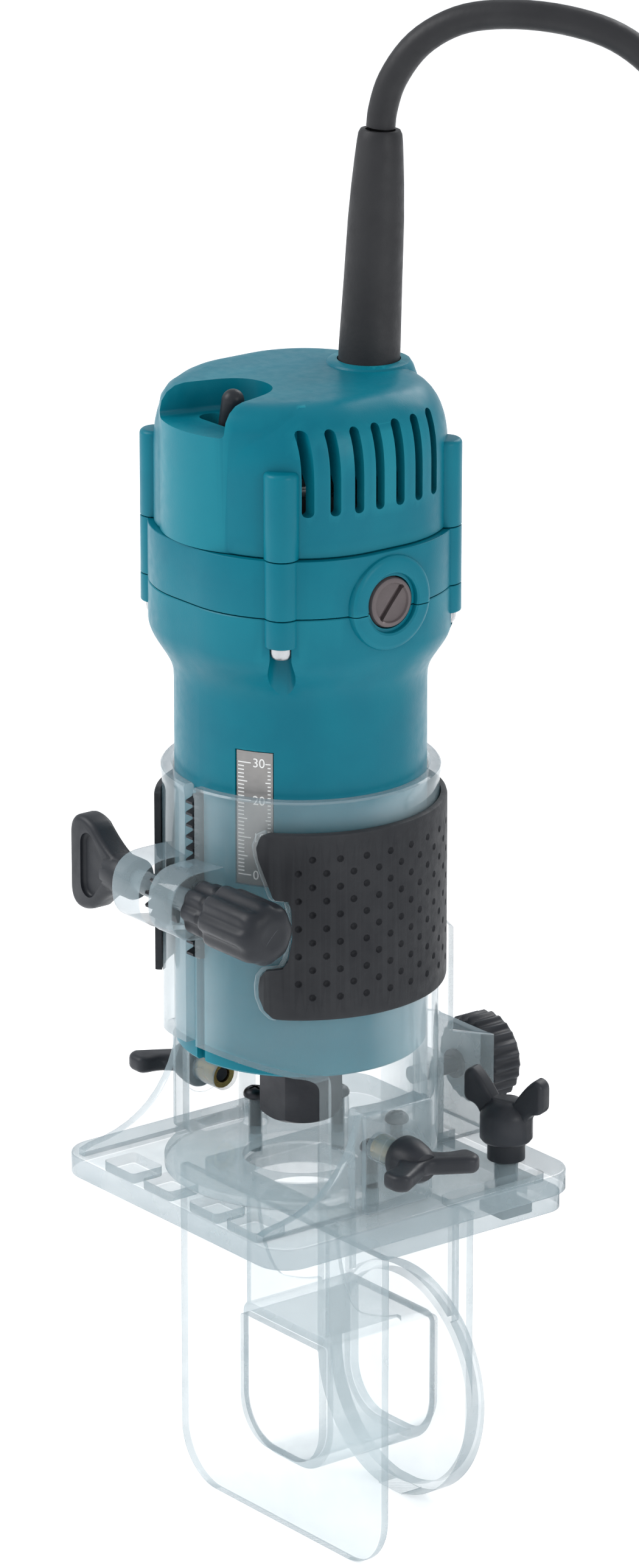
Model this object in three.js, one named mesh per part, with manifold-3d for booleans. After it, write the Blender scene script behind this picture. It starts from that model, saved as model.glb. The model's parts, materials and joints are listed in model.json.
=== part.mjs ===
// A trim router: a motor unit that slides in a clear clamping base, with an edge guide below the base.
// Millimetres, +Z up. The spindle runs along Z. -Y is the front, with the switch and the clamp, and +X is
// the side of the depth knob. Heights in the base group start at the underside of the base plate, and
// heights in the motor group start at the lower rim of the barrel. The guide stands on the ground.
import * as THREE from 'three';
import { mergeVertices } from 'three/addons/utils/BufferGeometryUtils.js';
import Module from 'manifold-3d';

// ---- fits ----
const GAP = 0.3;             // between pieces that touch
const SLIDE_FIT = 0.4;       // between the barrel and the sleeve
const THREAD_FIT = 0.3;      // round a screw or shaft in its hole

// ---- motor barrel and its place in the base ----
const BARREL_R = 32.5;
const BARREL_WALL = 4;
const SEATED_HEIGHT = 22.7;  // barrel rim above the plate's underside, motor fully down
const DEPTH_SETTING = 19;    // how far the motor is raised from there
const BARREL_LENGTH = 98.3;
const FLANGE_START = 113.3;
const LOWER_SPLIT = 124.3;   // parting line of barrel housing and middle housing
const UPPER_SPLIT = 139.6;   // parting line of middle housing and top cover
const BOSS_START = 117;
const BOSS_TOP = 161.8;
const COVER_TOP = 177.5;
const HOUSING_HALF = 37;     // half the width of the rounded square body
const HOUSING_WALL = 3;
const COVER_INSET = 1.6;     // the top cover stands this much inside the body
const SHOULDER_R = 13;
const BOSS_R = 4.5;
const HOUSING_SCREW_R = 1.6;
const HOUSING_SCREW_HEAD_R = 3.2;

// ---- switch, vents, brushes ----
const LOBE_R = 29;
const LOBE_Y = -11;
const POCKET_FLOOR = 171.5;
const POCKET_HALF = 16;
const POCKET_BACK = -12;
const LEVER_Y = -23.7;
const LEVER_R = 2.9;
const LEVER_LENGTH = 14;
const LEVER_PIVOT = 164;
const LEVER_LEAN = 15;       // degrees
const VENT_COUNT = 7;
const VENT_PITCH = 6.4;
const VENT_WIDTH = 2.3;
const VENT_MIDDLE = -2;
const VENT_LOW = 151.3;
const VENT_HIGH = 172;
const BRUSH_HEIGHT = 126.3;
const BRUSH_CAP_R = 6.6;
const BRUSH_BOSS_R = 12;
const BRUSH_HALF = 3.2;
const BRUSH_TUBE_WALL = 1.5;

// ---- rotor ----
const SPINDLE_R = 5;
const LOWER_JOURNAL_R = 4;
const UPPER_JOURNAL_R = 3;
const LOWER_BEARING_R = 11;
const LOWER_BEARING_WIDTH = 7;
const UPPER_BEARING_R = 9.5;
const UPPER_BEARING_WIDTH = 6;
const UPPER_BEARING_LOW = 142.2;
const ARMATURE_R = 17.8;
const ARMATURE_LOW = 44;
const ARMATURE_LENGTH = 42;
const WINDING_R = 15;
const WINDING_LENGTH = 8;
const AIR_GAP = 1.1;
const COMMUTATOR_R = 10;
const COMMUTATOR_LENGTH = 16;
const FAN_R = 26;
const FAN_LOW = 18;
const FAN_HEIGHT = 12;
const FAN_BLADES = 8;
const NUT_ACROSS = 18.8;
const NUT_LENGTH = 17.7;
const NUT_TOP = -3.7;
const COLLET_BORE_R = 3;
const COLLET_R = 4.6;
const COLLET_LENGTH = 5.8;
const SPINDLE_NOSE_R = 6;

// ---- sleeve ----
const SLEEVE_WALL = 2.9;
const SLEEVE_TOP = 117;
const FOOT_T = 2.7;
const ARCH_SIDE = 41;        // height of the front opening at its sides
const ARCH_RISE = 6;
const ARCH_DEPTH_Y = -14;
const SLIT = 4;
const CLAMP_HEIGHT = 89;
const LUG_R = 9;
const LUG_LEFT = 14;
const LUG_RIGHT = 12;
const PAD_LOW = 59;
const PAD_HIGH = 109;
const PAD_T = 1.7;
const PAD_OPEN = 36;         // degrees each side of the front
const SIDE_BLOCK_HALF = 11;
const SIDE_BLOCK_TOP = 34;
const WEB_T = 3;
const SIDE_SCREW_HEIGHT = 20.5;
const INSERT_R = 3.7;
const SIDE_STUD_R = 1.9;
const PILLAR_ANGLES = [9, 60, 120, 171];
const PILLAR_R = 3.2;
const PILLAR_TOP = 16;
const PLATE_SCREW_R = 1.6;

// ---- depth drive ----
const TOOTH_MODULE = 1;
const PINION_TEETH = 13;
const PINION_WIDTH = 3.2;
const DEPTH_SHAFT_R = 2.8;
const RACK_HALF = 1.4;
const RACK_LOW = 28;
const RACK_TEETH = 14;
const RACK_BACK = 2.9;       // rack body behind the tooth roots
const RACK_PROUD = 2.5;      // from the barrel to the pitch line
const DEPTH_KNOB_END = 42.4;
const DEPTH_KNOB_R = 8.6;
const DEPTH_KNOB_NECK_R = 7.4;
const CLAMP_KNOB_END = 40;
const CLAMP_KNOB_TALL = 25.6;
const CLAMP_KNOB_T = 7;

// ---- scale ----
const SCALE_ANGLE = -59;     // degrees from +X
const SCALE_WIDTH = 10;
const SCALE_LOW = 51.5;
const SCALE_HIGH = 87;
const SCALE_T = 0.4;

// ---- base plate and guide ----
const PLATE_FRONT = -44;
const PLATE_T = 6;
const PLATE_CORNER = 9;
const BIT_HOLE_R = 15;
const GUIDE_DROP = 95;       // from the plate's underside to the ground
const BRACKET_T = 5;
const BRACKET_LEFT = -32;
const BRACKET_FRONT = -8.5;
const GUIDE_Y = -6;
const GUIDE_T = 2.5;
const GUIDE_HALF = 43.6;
const GUIDE_CORNER = 15;
const WINDOW_HALF = 17;
const WINDOW_TOP = 40;       // below the plate's underside
const WINDOW_BOTTOM = 75;
const WINDOW_CORNER = 12;
const DUCT_WALL = 2.5;
const FLANGE_Y = 30;
const FLANGE_T = 2.5;
const FLANGE_RIM_DEPTH = 7;
const FLANGE_R = 32;
const TAB_T = 3;
const TAB_HALF = 5;
const GUIDE_TRAVEL = 3;      // each way
const ADJUST_HEIGHT = 22;
const ADJUST_SCREW_R = 2.4;
const ADJUST_KNOB_R = 12;
const ADJUST_KNOB_T = 10;
const ADJUST_WALL_T = 2.7;
const ADJUST_WALL_TOP = 33;
const GUSSET_X = 10;
const GUSSET_T = 2.5;
const GUSSET_TOP = 69;
const LOCK_BOLT_R = 2.9;
const LOCK_HEAD_HALF = 5.1;  // half the width of its square head
const LOCK_HEAD_T = 3;
const LOCK_HUB_R = 7;
const LOCK_WING = 12;

// ---- cord ----
const GUARD_Y = 22;
const GUARD_R = 7.9;
const GUARD_TIP_R = 5.6;
const GUARD_LENGTH = 60;
const GUARD_LEAN = 3.4;      // degrees
const CORD_D = 7.5;
const COIL_TURNS_WIDE = 3;
const COIL_TURNS_HIGH = 3;
const COIL_MIDDLE_R = 42.7;
const COIL_X = 9.8;
const COIL_Y = 190;
const PLUG_LENGTH = 42;
const PLUG_WIDTH = 24;
const PLUG_T = 16;
const PLUG_CORNER = 6;
const PLUG_NECK_LENGTH = 12;
const PLUG_NECK_R = 7;
const PIN_R = 2;
const PIN_LENGTH = 16;
const PIN_SPACING = 10;
// The cord's route from the guard to the coil, by hand, with heights above the plate's underside.
const CORD_ROUTE = [
  [0, 25.6, 279.7], [0.3, 26, 284], [2.3, 27.5, 292], [7.4, 31.8, 301.5], [15, 38.3, 307.8],
  [24, 46, 310], [36, 56.1, 309.2], [46, 64.6, 305.4], [53.6, 71.1, 298], [58.4, 75.1, 288],
  [60.3, 76.9, 275], [61, 78, 235], [60.6, 78.6, 190], [60, 78.2, 140], [59.6, 77.6, 90],
  [59.7, 77, 40], [60, 76.8, -5], [60, 77, -42], [60, 78.2, -60], [60, 84, -76],
  [60, 95, -87], [60, 109, -90.9], [60, 122, -91], [60, 134, -91], [60, 147, -91],
  [60, 160.5, -91],
];
const CORD_STEPS = 64;
const CORD_SIDES = 8;

// ---- worked out ----
const SLEEVE_IN = BARREL_R + SLIDE_FIT;
const SLEEVE_OUT = SLEEVE_IN + SLEEVE_WALL;
const SLEEVE_LOW = PLATE_T + GAP;
const SIDE_BLOCK_OUT = SLEEVE_OUT + 6.2;
const WEB_IN = SLEEVE_OUT + 1.2;
const ARCH_HALF = SLEEVE_IN - 1.9;   // half the width of the front opening
const PILLAR_CIRCLE = SLEEVE_IN - 7.6;
const GUSSET_OUT = SLEEVE_OUT + 5.2;
const HOUSING_CORNER = HOUSING_HALF - 5;
const BOSS_PLACE = HOUSING_HALF - 11;    // housing screws, from the axis, along X and along Y
const PLATE_HALF = SLEEVE_OUT + 12.2;
const PLATE_BACK = SLEEVE_OUT + 19.3;
const BRACKET_RIGHT = PLATE_HALF - 2;
const BRACKET_BACK = PLATE_BACK - 2;
const TAB_Y = SLEEVE_OUT + 6.7;
const LOCK_X = SLEEVE_OUT - 4.8;
const LOCK_Y = SLEEVE_OUT + 8.2;
const FOOT_TOP = SLEEVE_LOW + FOOT_T;
const MOTOR_LIFT = SEATED_HEIGHT + DEPTH_SETTING;
const BARREL_IN = BARREL_R - BARREL_WALL;
const PINION_PITCH_R = TOOTH_MODULE * PINION_TEETH / 2;
const PITCH_LINE = BARREL_R + RACK_PROUD;
const CLAMP_Y = -(PITCH_LINE + PINION_PITCH_R);
const RACK_ROOT = PITCH_LINE - 1.25 * TOOTH_MODULE;
const RACK_PITCH = Math.PI * TOOTH_MODULE;
const BRUSH_TUBE_HALF = BRUSH_HALF + GAP + BRUSH_TUBE_WALL;
const BRUSH_STOP = HOUSING_HALF - 6.5;
const NUT_LOW = NUT_TOP - NUT_LENGTH;
const UNDER_PLATE = -GAP;
const BRACKET_LOW = UNDER_PLATE - BRACKET_T;
const GUIDE_HIGH = BRACKET_LOW - GAP;
const GUIDE_BACK = GUIDE_Y + GUIDE_T / 2;
const ADJUST_WALL_BACK = PLATE_BACK - GAP;
const ADJUST_WALL_FRONT = ADJUST_WALL_BACK - ADJUST_WALL_T;
const CORD_R = CORD_D / 2;
const FACES = [1, -1];
const SIDES = { right: 1, left: -1 };

// ---- solids ----
const wasm = await Module();
wasm.setup();

const rad = THREE.MathUtils.degToRad;

/** A closed three.js geometry as a solid, with its vertices shared and its faces pointing out. */
function solid(geometry) {
  geometry.deleteAttribute('normal');
  geometry.deleteAttribute('uv');
  const merged = mergeVertices(geometry, 1e-4);
  const at = merged.attributes.position.array;
  const faces = [];
  let volume = 0;
  for (let i = 0; i < merged.index.count; i += 3) {
    const [a, b, c] = [0, 1, 2].map((k) => merged.index.array[i + k]);
    if (a === b || b === c || c === a) continue;
    faces.push(a, b, c);
    const [p, q, r] = [a, b, c].map((v) => new THREE.Vector3().fromArray(at, v * 3));
    volume += p.dot(q.cross(r));
  }
  if (volume < 0) faces.reverse();
  return new wasm.Manifold(new wasm.Mesh({
    numProp: 3, vertProperties: new Float32Array(at), triVerts: new Uint32Array(faces),
  }));
}

const join = (...solids) => solids.reduce((a, b) => a.add(b));
const cut = (body, ...tools) => tools.reduce((a, b) => a.subtract(b), body);

/** A box from its limits along X, Y and Z. */
function box(x0, x1, y0, y1, z0, z1) {
  const block = new THREE.BoxGeometry(Math.abs(x1 - x0), Math.abs(y1 - y0), Math.abs(z1 - z0));
  block.translate((x0 + x1) / 2, (y0 + y1) / 2, (z0 + z1) / 2);
  return solid(block);
}

/** A bar of radius r along an axis, with its centre at the other two coordinates (u, v). */
function rod(axis, r, from, to, u = 0, v = 0, sides = 24, endR = r) {
  const [low, high] = from < to ? [from, to] : [to, from];
  const [lowR, highR] = from < to ? [r, endR] : [endR, r];
  const bar = new THREE.CylinderGeometry(highR, lowR, high - low, sides);
  bar.rotateX(Math.PI / 2);
  const middle = (low + high) / 2;
  if (axis === 'x') bar.rotateY(Math.PI / 2).translate(middle, u, v);
  if (axis === 'y') bar.rotateX(-Math.PI / 2).translate(u, middle, v);
  if (axis === 'z') bar.translate(u, v, middle);
  return solid(bar);
}

/** A round piece about Z from (radius, height) points that start and end on the axis or meet. */
function turned(points, sides = 32) {
  const lathe = new THREE.LatheGeometry(points.map(([r, z]) => new THREE.Vector2(r, z)), sides);
  return solid(lathe.rotateX(Math.PI / 2));
}

/** A ring about Z. */
const ring = (inner, outer, low, high, sides = 16) => (
  cut(rod('z', outer, low, high, 0, 0, sides), rod('z', inner, low - 1, high + 1, 0, 0, sides))
);

/** An outline extruded along an axis: it lies in (Y, Z) for x, (X, Z) for y and (X, Y) for z. */
function prism(axis, shape, from, to, smooth = 2) {
  const depth = to - from;
  const bar = new THREE.ExtrudeGeometry(shape, { depth, bevelEnabled: false, curveSegments: smooth });
  if (axis === 'x') bar.rotateX(Math.PI / 2).rotateZ(Math.PI / 2).translate(from, 0, 0);
  if (axis === 'y') bar.rotateX(Math.PI / 2).translate(0, to, 0);
  if (axis === 'z') bar.translate(0, 0, from);
  return solid(bar);
}

/** An outline from straight stretches between points. */
const polygon = (points) => new THREE.Shape(points.map(([x, y]) => new THREE.Vector2(x, y)));

/** A rectangle with a radius for each corner: low left, low right, high right, high left. */
function roundedRectangle(x0, x1, y0, y1, radii) {
  const [a, b, c, d] = radii.map((r) => Math.max(r, 0.01));
  const shape = new THREE.Shape();
  shape.absarc(x0 + a, y0 + a, a, Math.PI, 1.5 * Math.PI);
  shape.absarc(x1 - b, y0 + b, b, 1.5 * Math.PI, 2 * Math.PI);
  shape.absarc(x1 - c, y1 - c, c, 0, 0.5 * Math.PI);
  shape.absarc(x0 + d, y1 - d, d, 0.5 * Math.PI, Math.PI);
  return shape;
}

/** The housing's rounded square, drawn in by an inset. */
function bodyOutline(inset) {
  const half = HOUSING_HALF - inset;
  const corner = HOUSING_CORNER - inset;
  return roundedRectangle(-half, half, -half, half, [corner, corner, corner, corner]);
}

/** An arc-shaped strip between two radii and two angles in degrees. */
function arcStrip(inner, outer, startAngle, endAngle) {
  const shape = new THREE.Shape();
  shape.absarc(0, 0, outer, rad(startAngle), rad(endAngle), false);
  shape.absarc(0, 0, inner, rad(endAngle), rad(startAngle), true);
  return shape;
}

/** A star-like outline about (u, v) whose radius goes between two values, for flutes and knurls. */
function toothed(count, low, high, u = 0, v = 0, share = 0.5) {
  const points = [];
  for (let i = 0; i < count; i += 1) {
    const steps = [[0, high], [share, high], [share + 0.12, low], [0.88, low]];
    for (const [part, r] of steps) {
      const angle = 2 * Math.PI * (i + part - share / 2) / count;
      points.push([u + r * Math.cos(angle), v + r * Math.sin(angle)]);
    }
  }
  return polygon(points);
}

/** A hexagon about Z, from its width across the flats. */
const hexagon = (across, low, high) => rod('z', across / Math.sqrt(3), low, high, 0, 0, 6);

// ---- finishes ----
const FINISH = {
  clear: { color: 0xdfeaec, roughness: 0.08, metalness: 0, transparent: true, opacity: 0.35 },
  teal: { color: 0x007a90, roughness: 0.42, metalness: 0 },
  black: { color: 0x26292d, roughness: 0.5, metalness: 0 },
  rubber: { color: 0x2e3236, roughness: 0.75, metalness: 0 },
  brass: { color: 0xb59a4a, roughness: 0.3, metalness: 1 },
  steel: { color: 0xa9adb0, roughness: 0.32, metalness: 1 },
  darkSteel: { color: 0x1f2124, roughness: 0.4, metalness: 1 },
  lamination: { color: 0x77797c, roughness: 0.5, metalness: 1 },
  copper: { color: 0xa75a2c, roughness: 0.4, metalness: 1 },
  carbon: { color: 0x2c2c2e, roughness: 0.8, metalness: 0 },
  cap: { color: 0x6b5f5b, roughness: 0.5, metalness: 0 },
  scale: { color: 0x6f6f6c, roughness: 0.55, metalness: 0 },
  resin: { color: 0x8c6f45, roughness: 0.6, metalness: 0 },
};

/** Adds a solid to a group as a named mesh with a material of its own. */
function place(group, name, body, finish) {
  const result = body.getMesh();
  const geometry = new THREE.BufferGeometry();
  geometry.setAttribute('position', new THREE.BufferAttribute(result.vertProperties, 3));
  geometry.setIndex(new THREE.BufferAttribute(result.triVerts, 1));
  geometry.computeVertexNormals();
  const mesh = new THREE.Mesh(geometry, new THREE.MeshStandardMaterial(FINISH[finish]));
  mesh.name = name;
  group.add(mesh);
}

// ---- base ----
const pillarPlaces = PILLAR_ANGLES.map((a) => [
  PILLAR_CIRCLE * Math.cos(rad(a)), PILLAR_CIRCLE * Math.sin(rad(a)),
]);

/** The triangular web between a side block and the front corner of the plate. */
function webOutline() {
  const shape = new THREE.Shape();
  shape.moveTo(SIDE_BLOCK_HALF, SLEEVE_LOW);
  shape.lineTo(SIDE_BLOCK_HALF, SIDE_BLOCK_TOP);
  shape.lineTo(-SIDE_BLOCK_HALF, SIDE_BLOCK_TOP);
  shape.quadraticCurveTo(-SIDE_BLOCK_HALF - 5, FOOT_TOP + 2, PLATE_FRONT + 4, FOOT_TOP);
  shape.lineTo(PLATE_FRONT + 1, FOOT_TOP - 1);
  shape.lineTo(PLATE_FRONT + 1, SLEEVE_LOW);
  return shape;
}

/** The front opening, above the foot. */
function archOutline() {
  const shape = new THREE.Shape();
  shape.moveTo(-ARCH_HALF, FOOT_TOP);
  shape.lineTo(ARCH_HALF, FOOT_TOP);
  shape.lineTo(ARCH_HALF, ARCH_SIDE);
  shape.quadraticCurveTo(0, ARCH_SIDE + 2 * ARCH_RISE, -ARCH_HALF, ARCH_SIDE);
  return shape;
}

/** A rear gusset, which also carries the wall of the adjusting screw. */
const gussetOutline = () => polygon([
  [SLEEVE_IN - 2, SLEEVE_LOW], [ADJUST_WALL_BACK, SLEEVE_LOW], [ADJUST_WALL_BACK, ADJUST_WALL_TOP],
  [GUSSET_OUT, ADJUST_WALL_TOP + 4], [GUSSET_OUT, GUSSET_TOP], [SLEEVE_IN - 2, GUSSET_TOP],
]);

function baseSleeve() {
  const lugOut = [-LUG_LEFT, LUG_RIGHT];
  const solids = [rod('z', SLEEVE_OUT, SLEEVE_LOW, SLEEVE_TOP, 0, 0, 36)];
  solids.push(rod('x', LUG_R, ...lugOut, CLAMP_Y, CLAMP_HEIGHT));
  solids.push(box(...lugOut, CLAMP_Y, -SLEEVE_IN + 6, CLAMP_HEIGHT - LUG_R, CLAMP_HEIGHT + LUG_R));
  for (const s of FACES) {
    solids.push(box(s * (SLEEVE_IN - 6), s * SIDE_BLOCK_OUT, -SIDE_BLOCK_HALF, SIDE_BLOCK_HALF,
      SLEEVE_LOW, SIDE_BLOCK_TOP));
    solids.push(prism('x', webOutline(), ...[s * WEB_IN, s * (WEB_IN + WEB_T)].sort((a, b) => a - b)));
    const gusset = [s * GUSSET_X, s * (GUSSET_X + GUSSET_T)].sort((a, b) => a - b);
    solids.push(prism('x', gussetOutline(), ...gusset));
  }
  solids.push(box(-GUSSET_X - 1, GUSSET_X + 1, ADJUST_WALL_FRONT, ADJUST_WALL_BACK,
    SLEEVE_LOW, ADJUST_WALL_TOP));
  let sleeve = cut(join(...solids), rod('z', SLEEVE_IN, FOOT_TOP, SLEEVE_TOP + 1, 0, 0, 36));
  sleeve = cut(sleeve, prism('y', archOutline(), -2 * SLEEVE_OUT, ARCH_DEPTH_Y));
  sleeve = join(sleeve, ...pillarPlaces.map(([x, y]) => (
    rod('z', PILLAR_R, FOOT_TOP - 1, PILLAR_TOP, x, y, 16))));
  const tools = [
    rod('z', BIT_HOLE_R + GAP, 0, FOOT_TOP + 1),
    box(-SLIT / 2, SLIT / 2, -2 * SLEEVE_OUT, -SLEEVE_IN / 2, FOOT_TOP, SLEEVE_TOP + 1),
    rod('x', DEPTH_SHAFT_R + THREAD_FIT, -LUG_LEFT - 1, LUG_RIGHT + 1, CLAMP_Y, CLAMP_HEIGHT, 16),
    rod('y', ADJUST_SCREW_R + THREAD_FIT, ADJUST_WALL_FRONT - 1, PLATE_BACK, 0, ADJUST_HEIGHT, 16),
    ...pillarPlaces.map(([x, y]) => rod('z', PLATE_SCREW_R + THREAD_FIT, 0, PILLAR_TOP + 1, x, y, 12)),
    ...FACES.map((s) => rod('x', INSERT_R + GAP, s * (SLEEVE_IN - 4), s * (SIDE_BLOCK_OUT + 1),
      0, SIDE_SCREW_HEIGHT, 16)),
  ];
  return cut(sleeve, ...tools);
}

function gripPad() {
  const inner = SLEEVE_OUT + GAP;
  const strip = arcStrip(inner, inner + PAD_T, -90 + PAD_OPEN, 270 - PAD_OPEN);
  const pad = prism('z', strip, PAD_LOW, PAD_HIGH, 14);
  return cut(pad, ...FACES.map((s) => box(s * (GUSSET_X - GAP), s * (GUSSET_X + GUSSET_T + GAP),
    SLEEVE_IN - 2, GUSSET_OUT + 1, PAD_LOW - 1, GUSSET_TOP + GAP)));
}

const plateOutline = () => roundedRectangle(-PLATE_HALF, PLATE_HALF, PLATE_FRONT, PLATE_BACK,
  [PLATE_CORNER, PLATE_CORNER, PLATE_CORNER, PLATE_CORNER]);

/** The plate's shallow pockets, seen from above in front of the sleeve. */
function platePockets() {
  const pockets = [];
  for (const s of FACES) {
    pockets.push(box(s * 4, s * 16, PLATE_FRONT + 4, PLATE_FRONT + 14, PLATE_T / 2, PLATE_T + 1));
    pockets.push(box(s * 20, s * 33, PLATE_FRONT + 4, PLATE_FRONT + 14, PLATE_T / 2, PLATE_T + 1));
  }
  return pockets;
}

function basePlate() {
  const tabRoom = TAB_T / 2 + GUIDE_TRAVEL + SLIDE_FIT;
  return cut(prism('z', plateOutline(), 0, PLATE_T, 4),
    rod('z', BIT_HOLE_R, -1, PLATE_T + 1, 0, 0, 32),
    rod('z', LOCK_BOLT_R + THREAD_FIT, -1, PLATE_T + 1, LOCK_X, LOCK_Y, 16),
    box(-TAB_HALF - SLIDE_FIT, TAB_HALF + SLIDE_FIT, TAB_Y - tabRoom, TAB_Y + tabRoom, -1, PLATE_T + 1),
    ...pillarPlaces.map(([x, y]) => rod('z', PLATE_SCREW_R + THREAD_FIT, -1, PLATE_T + 1, x, y, 12)),
    ...platePockets());
}

function plateScrew() {
  const head = 2 * PLATE_SCREW_R;
  const seat = PILLAR_TOP + GAP;
  return turned([[0, 1], [PLATE_SCREW_R, 1], [PLATE_SCREW_R, seat], [head, seat],
    [head, seat + 1.2], [0.6 * head, seat + 2.4], [0, seat + 2.6]], 10);
}

/** A threaded insert in the block on one side. */
const sideInsert = (s) => cut(
  rod('x', INSERT_R, s * (SLEEVE_IN + 1), s * (SIDE_BLOCK_OUT - GAP), 0, SIDE_SCREW_HEIGHT, 16),
  rod('x', SIDE_STUD_R + THREAD_FIT, s * SLEEVE_IN, s * SIDE_BLOCK_OUT, 0, SIDE_SCREW_HEIGHT, 16));

/** A wing head in a plane: a hub with two lobes, drawn about the axis of the screw. */
function wingOutline(hub, reach, tip, base, end) {
  const shape = new THREE.Shape();
  shape.moveTo(-hub, base);
  shape.lineTo(hub, base);
  shape.quadraticCurveTo(hub + 1, (base + end) / 2, reach, (base + end) / 2);
  shape.absarc(reach - tip, end - tip, tip, 0, Math.PI / 2);
  shape.quadraticCurveTo(hub, end - tip, 0, (base + end) / 2 + 1);
  shape.quadraticCurveTo(-hub, end - tip, -reach + tip, end);
  shape.absarc(-reach + tip, end - tip, tip, Math.PI / 2, Math.PI);
  shape.quadraticCurveTo(-hub - 1, (base + end) / 2, -hub, base);
  return shape;
}

/** A wing screw along X, with its wings towards the front and the back. */
function sideWingScrew(s) {
  const seat = SIDE_BLOCK_OUT + GAP;
  const head = new THREE.ExtrudeGeometry(wingOutline(5, 14, 3.5, seat + 3, seat + 17),
    { depth: 4.6, bevelEnabled: false, curveSegments: 2 });
  head.translate(0, 0, -2.3).rotateZ(-s * Math.PI / 2).translate(0, 0, SIDE_SCREW_HEIGHT);
  return join(solid(head),
    rod('x', 6, s * seat, s * (seat + 8), 0, SIDE_SCREW_HEIGHT, 20, 4.6),
    rod('x', SIDE_STUD_R, s * (SLEEVE_IN + 1.5), s * (seat + 1), 0, SIDE_SCREW_HEIGHT, 16));
}

// ---- clamp and depth drive ----
/** The wing knob that draws the two lugs together. */
function clampKnob() {
  const seat = -LUG_LEFT - GAP;
  const paddle = new THREE.Shape();
  paddle.moveTo(seat - 6, CLAMP_HEIGHT - 5);
  paddle.quadraticCurveTo(seat - 12, CLAMP_HEIGHT - 6, -CLAMP_KNOB_END + 8,
    CLAMP_HEIGHT - CLAMP_KNOB_TALL / 2);
  paddle.quadraticCurveTo(-CLAMP_KNOB_END, CLAMP_HEIGHT - CLAMP_KNOB_TALL / 2, -CLAMP_KNOB_END,
    CLAMP_HEIGHT - CLAMP_KNOB_TALL / 2 + 7);
  paddle.lineTo(-CLAMP_KNOB_END, CLAMP_HEIGHT + CLAMP_KNOB_TALL / 2 - 7);
  paddle.quadraticCurveTo(-CLAMP_KNOB_END, CLAMP_HEIGHT + CLAMP_KNOB_TALL / 2,
    -CLAMP_KNOB_END + 8, CLAMP_HEIGHT + CLAMP_KNOB_TALL / 2);
  paddle.quadraticCurveTo(seat - 12, CLAMP_HEIGHT + 6, seat - 6, CLAMP_HEIGHT + 5);
  return cut(join(
    rod('x', 5.5, seat - 10, seat, CLAMP_Y, CLAMP_HEIGHT, 16),
    prism('y', paddle, CLAMP_Y - CLAMP_KNOB_T / 2, CLAMP_Y + CLAMP_KNOB_T / 2)),
  rod('x', DEPTH_SHAFT_R + THREAD_FIT, seat - 8, seat + 1, CLAMP_Y, CLAMP_HEIGHT, 16));
}

function depthKnob() {
  const seat = LUG_RIGHT + GAP;
  const neck = toothed(8, DEPTH_KNOB_NECK_R - 1.6, DEPTH_KNOB_NECK_R, CLAMP_Y, CLAMP_HEIGHT, 0.55);
  const grip = toothed(8, DEPTH_KNOB_R - 1.6, DEPTH_KNOB_R, CLAMP_Y, CLAMP_HEIGHT, 0.55);
  return cut(join(
    prism('x', neck, seat, seat + 8), prism('x', grip, seat + 7, DEPTH_KNOB_END - 2),
    rod('x', DEPTH_KNOB_R - 2.2, DEPTH_KNOB_END - 3, DEPTH_KNOB_END, CLAMP_Y, CLAMP_HEIGHT, 16, 5)),
  rod('x', DEPTH_SHAFT_R + THREAD_FIT, seat - 1, seat + 12, CLAMP_Y, CLAMP_HEIGHT, 16));
}

/** The shaft across both lugs, with the pinion in the slit between them. */
function pinionShaft() {
  const tip = PINION_PITCH_R + TOOTH_MODULE;
  const root = PINION_PITCH_R - 1.25 * TOOTH_MODULE;
  const points = [];
  for (let i = 0; i < PINION_TEETH; i += 1) {
    for (const [part, r] of [[-0.34, root], [-0.1, tip], [0.1, tip], [0.34, root]]) {
      const angle = 2 * Math.PI * (i + part) / PINION_TEETH + Math.PI / 2;
      points.push([CLAMP_Y + r * Math.sin(angle), CLAMP_HEIGHT + r * Math.cos(angle)]);
    }
  }
  return join(prism('x', polygon(points.reverse()), -PINION_WIDTH / 2, PINION_WIDTH / 2),
    rod('x', DEPTH_SHAFT_R, -LUG_LEFT - 7, LUG_RIGHT + 11, CLAMP_Y, CLAMP_HEIGHT, 16));
}

/** The rack strip on the barrel: a tooth gap faces the pinion's tooth at the present setting. */
function rack() {
  const back = -(RACK_ROOT - RACK_BACK);
  const meshHeight = CLAMP_HEIGHT - MOTOR_LIFT;
  const first = meshHeight - RACK_PITCH * (Math.round((meshHeight - RACK_LOW) / RACK_PITCH) - 0.5);
  const tip = -(PITCH_LINE + 0.9 * TOOTH_MODULE);
  const points = [[back, first - RACK_PITCH / 2]];
  for (let i = 0; i < RACK_TEETH; i += 1) {
    const middle = first + i * RACK_PITCH;
    points.push([-RACK_ROOT, middle - 0.34 * RACK_PITCH], [tip, middle - 0.1 * RACK_PITCH],
      [tip, middle + 0.1 * RACK_PITCH], [-RACK_ROOT, middle + 0.34 * RACK_PITCH]);
  }
  points.splice(1, 0, [-RACK_ROOT, first - RACK_PITCH / 2]);
  const end = first + (RACK_TEETH - 0.5) * RACK_PITCH;
  points.push([-RACK_ROOT, end], [back, end]);
  return prism('x', polygon(points), -RACK_HALF, RACK_HALF);
}

// ---- guide ----
const windowOutline = (grow = 0) => roundedRectangle(-WINDOW_HALF - grow, WINDOW_HALF + grow,
  -WINDOW_BOTTOM - grow, -WINDOW_TOP + grow, [WINDOW_CORNER + grow, WINDOW_CORNER + grow, 1, 1]);

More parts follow.
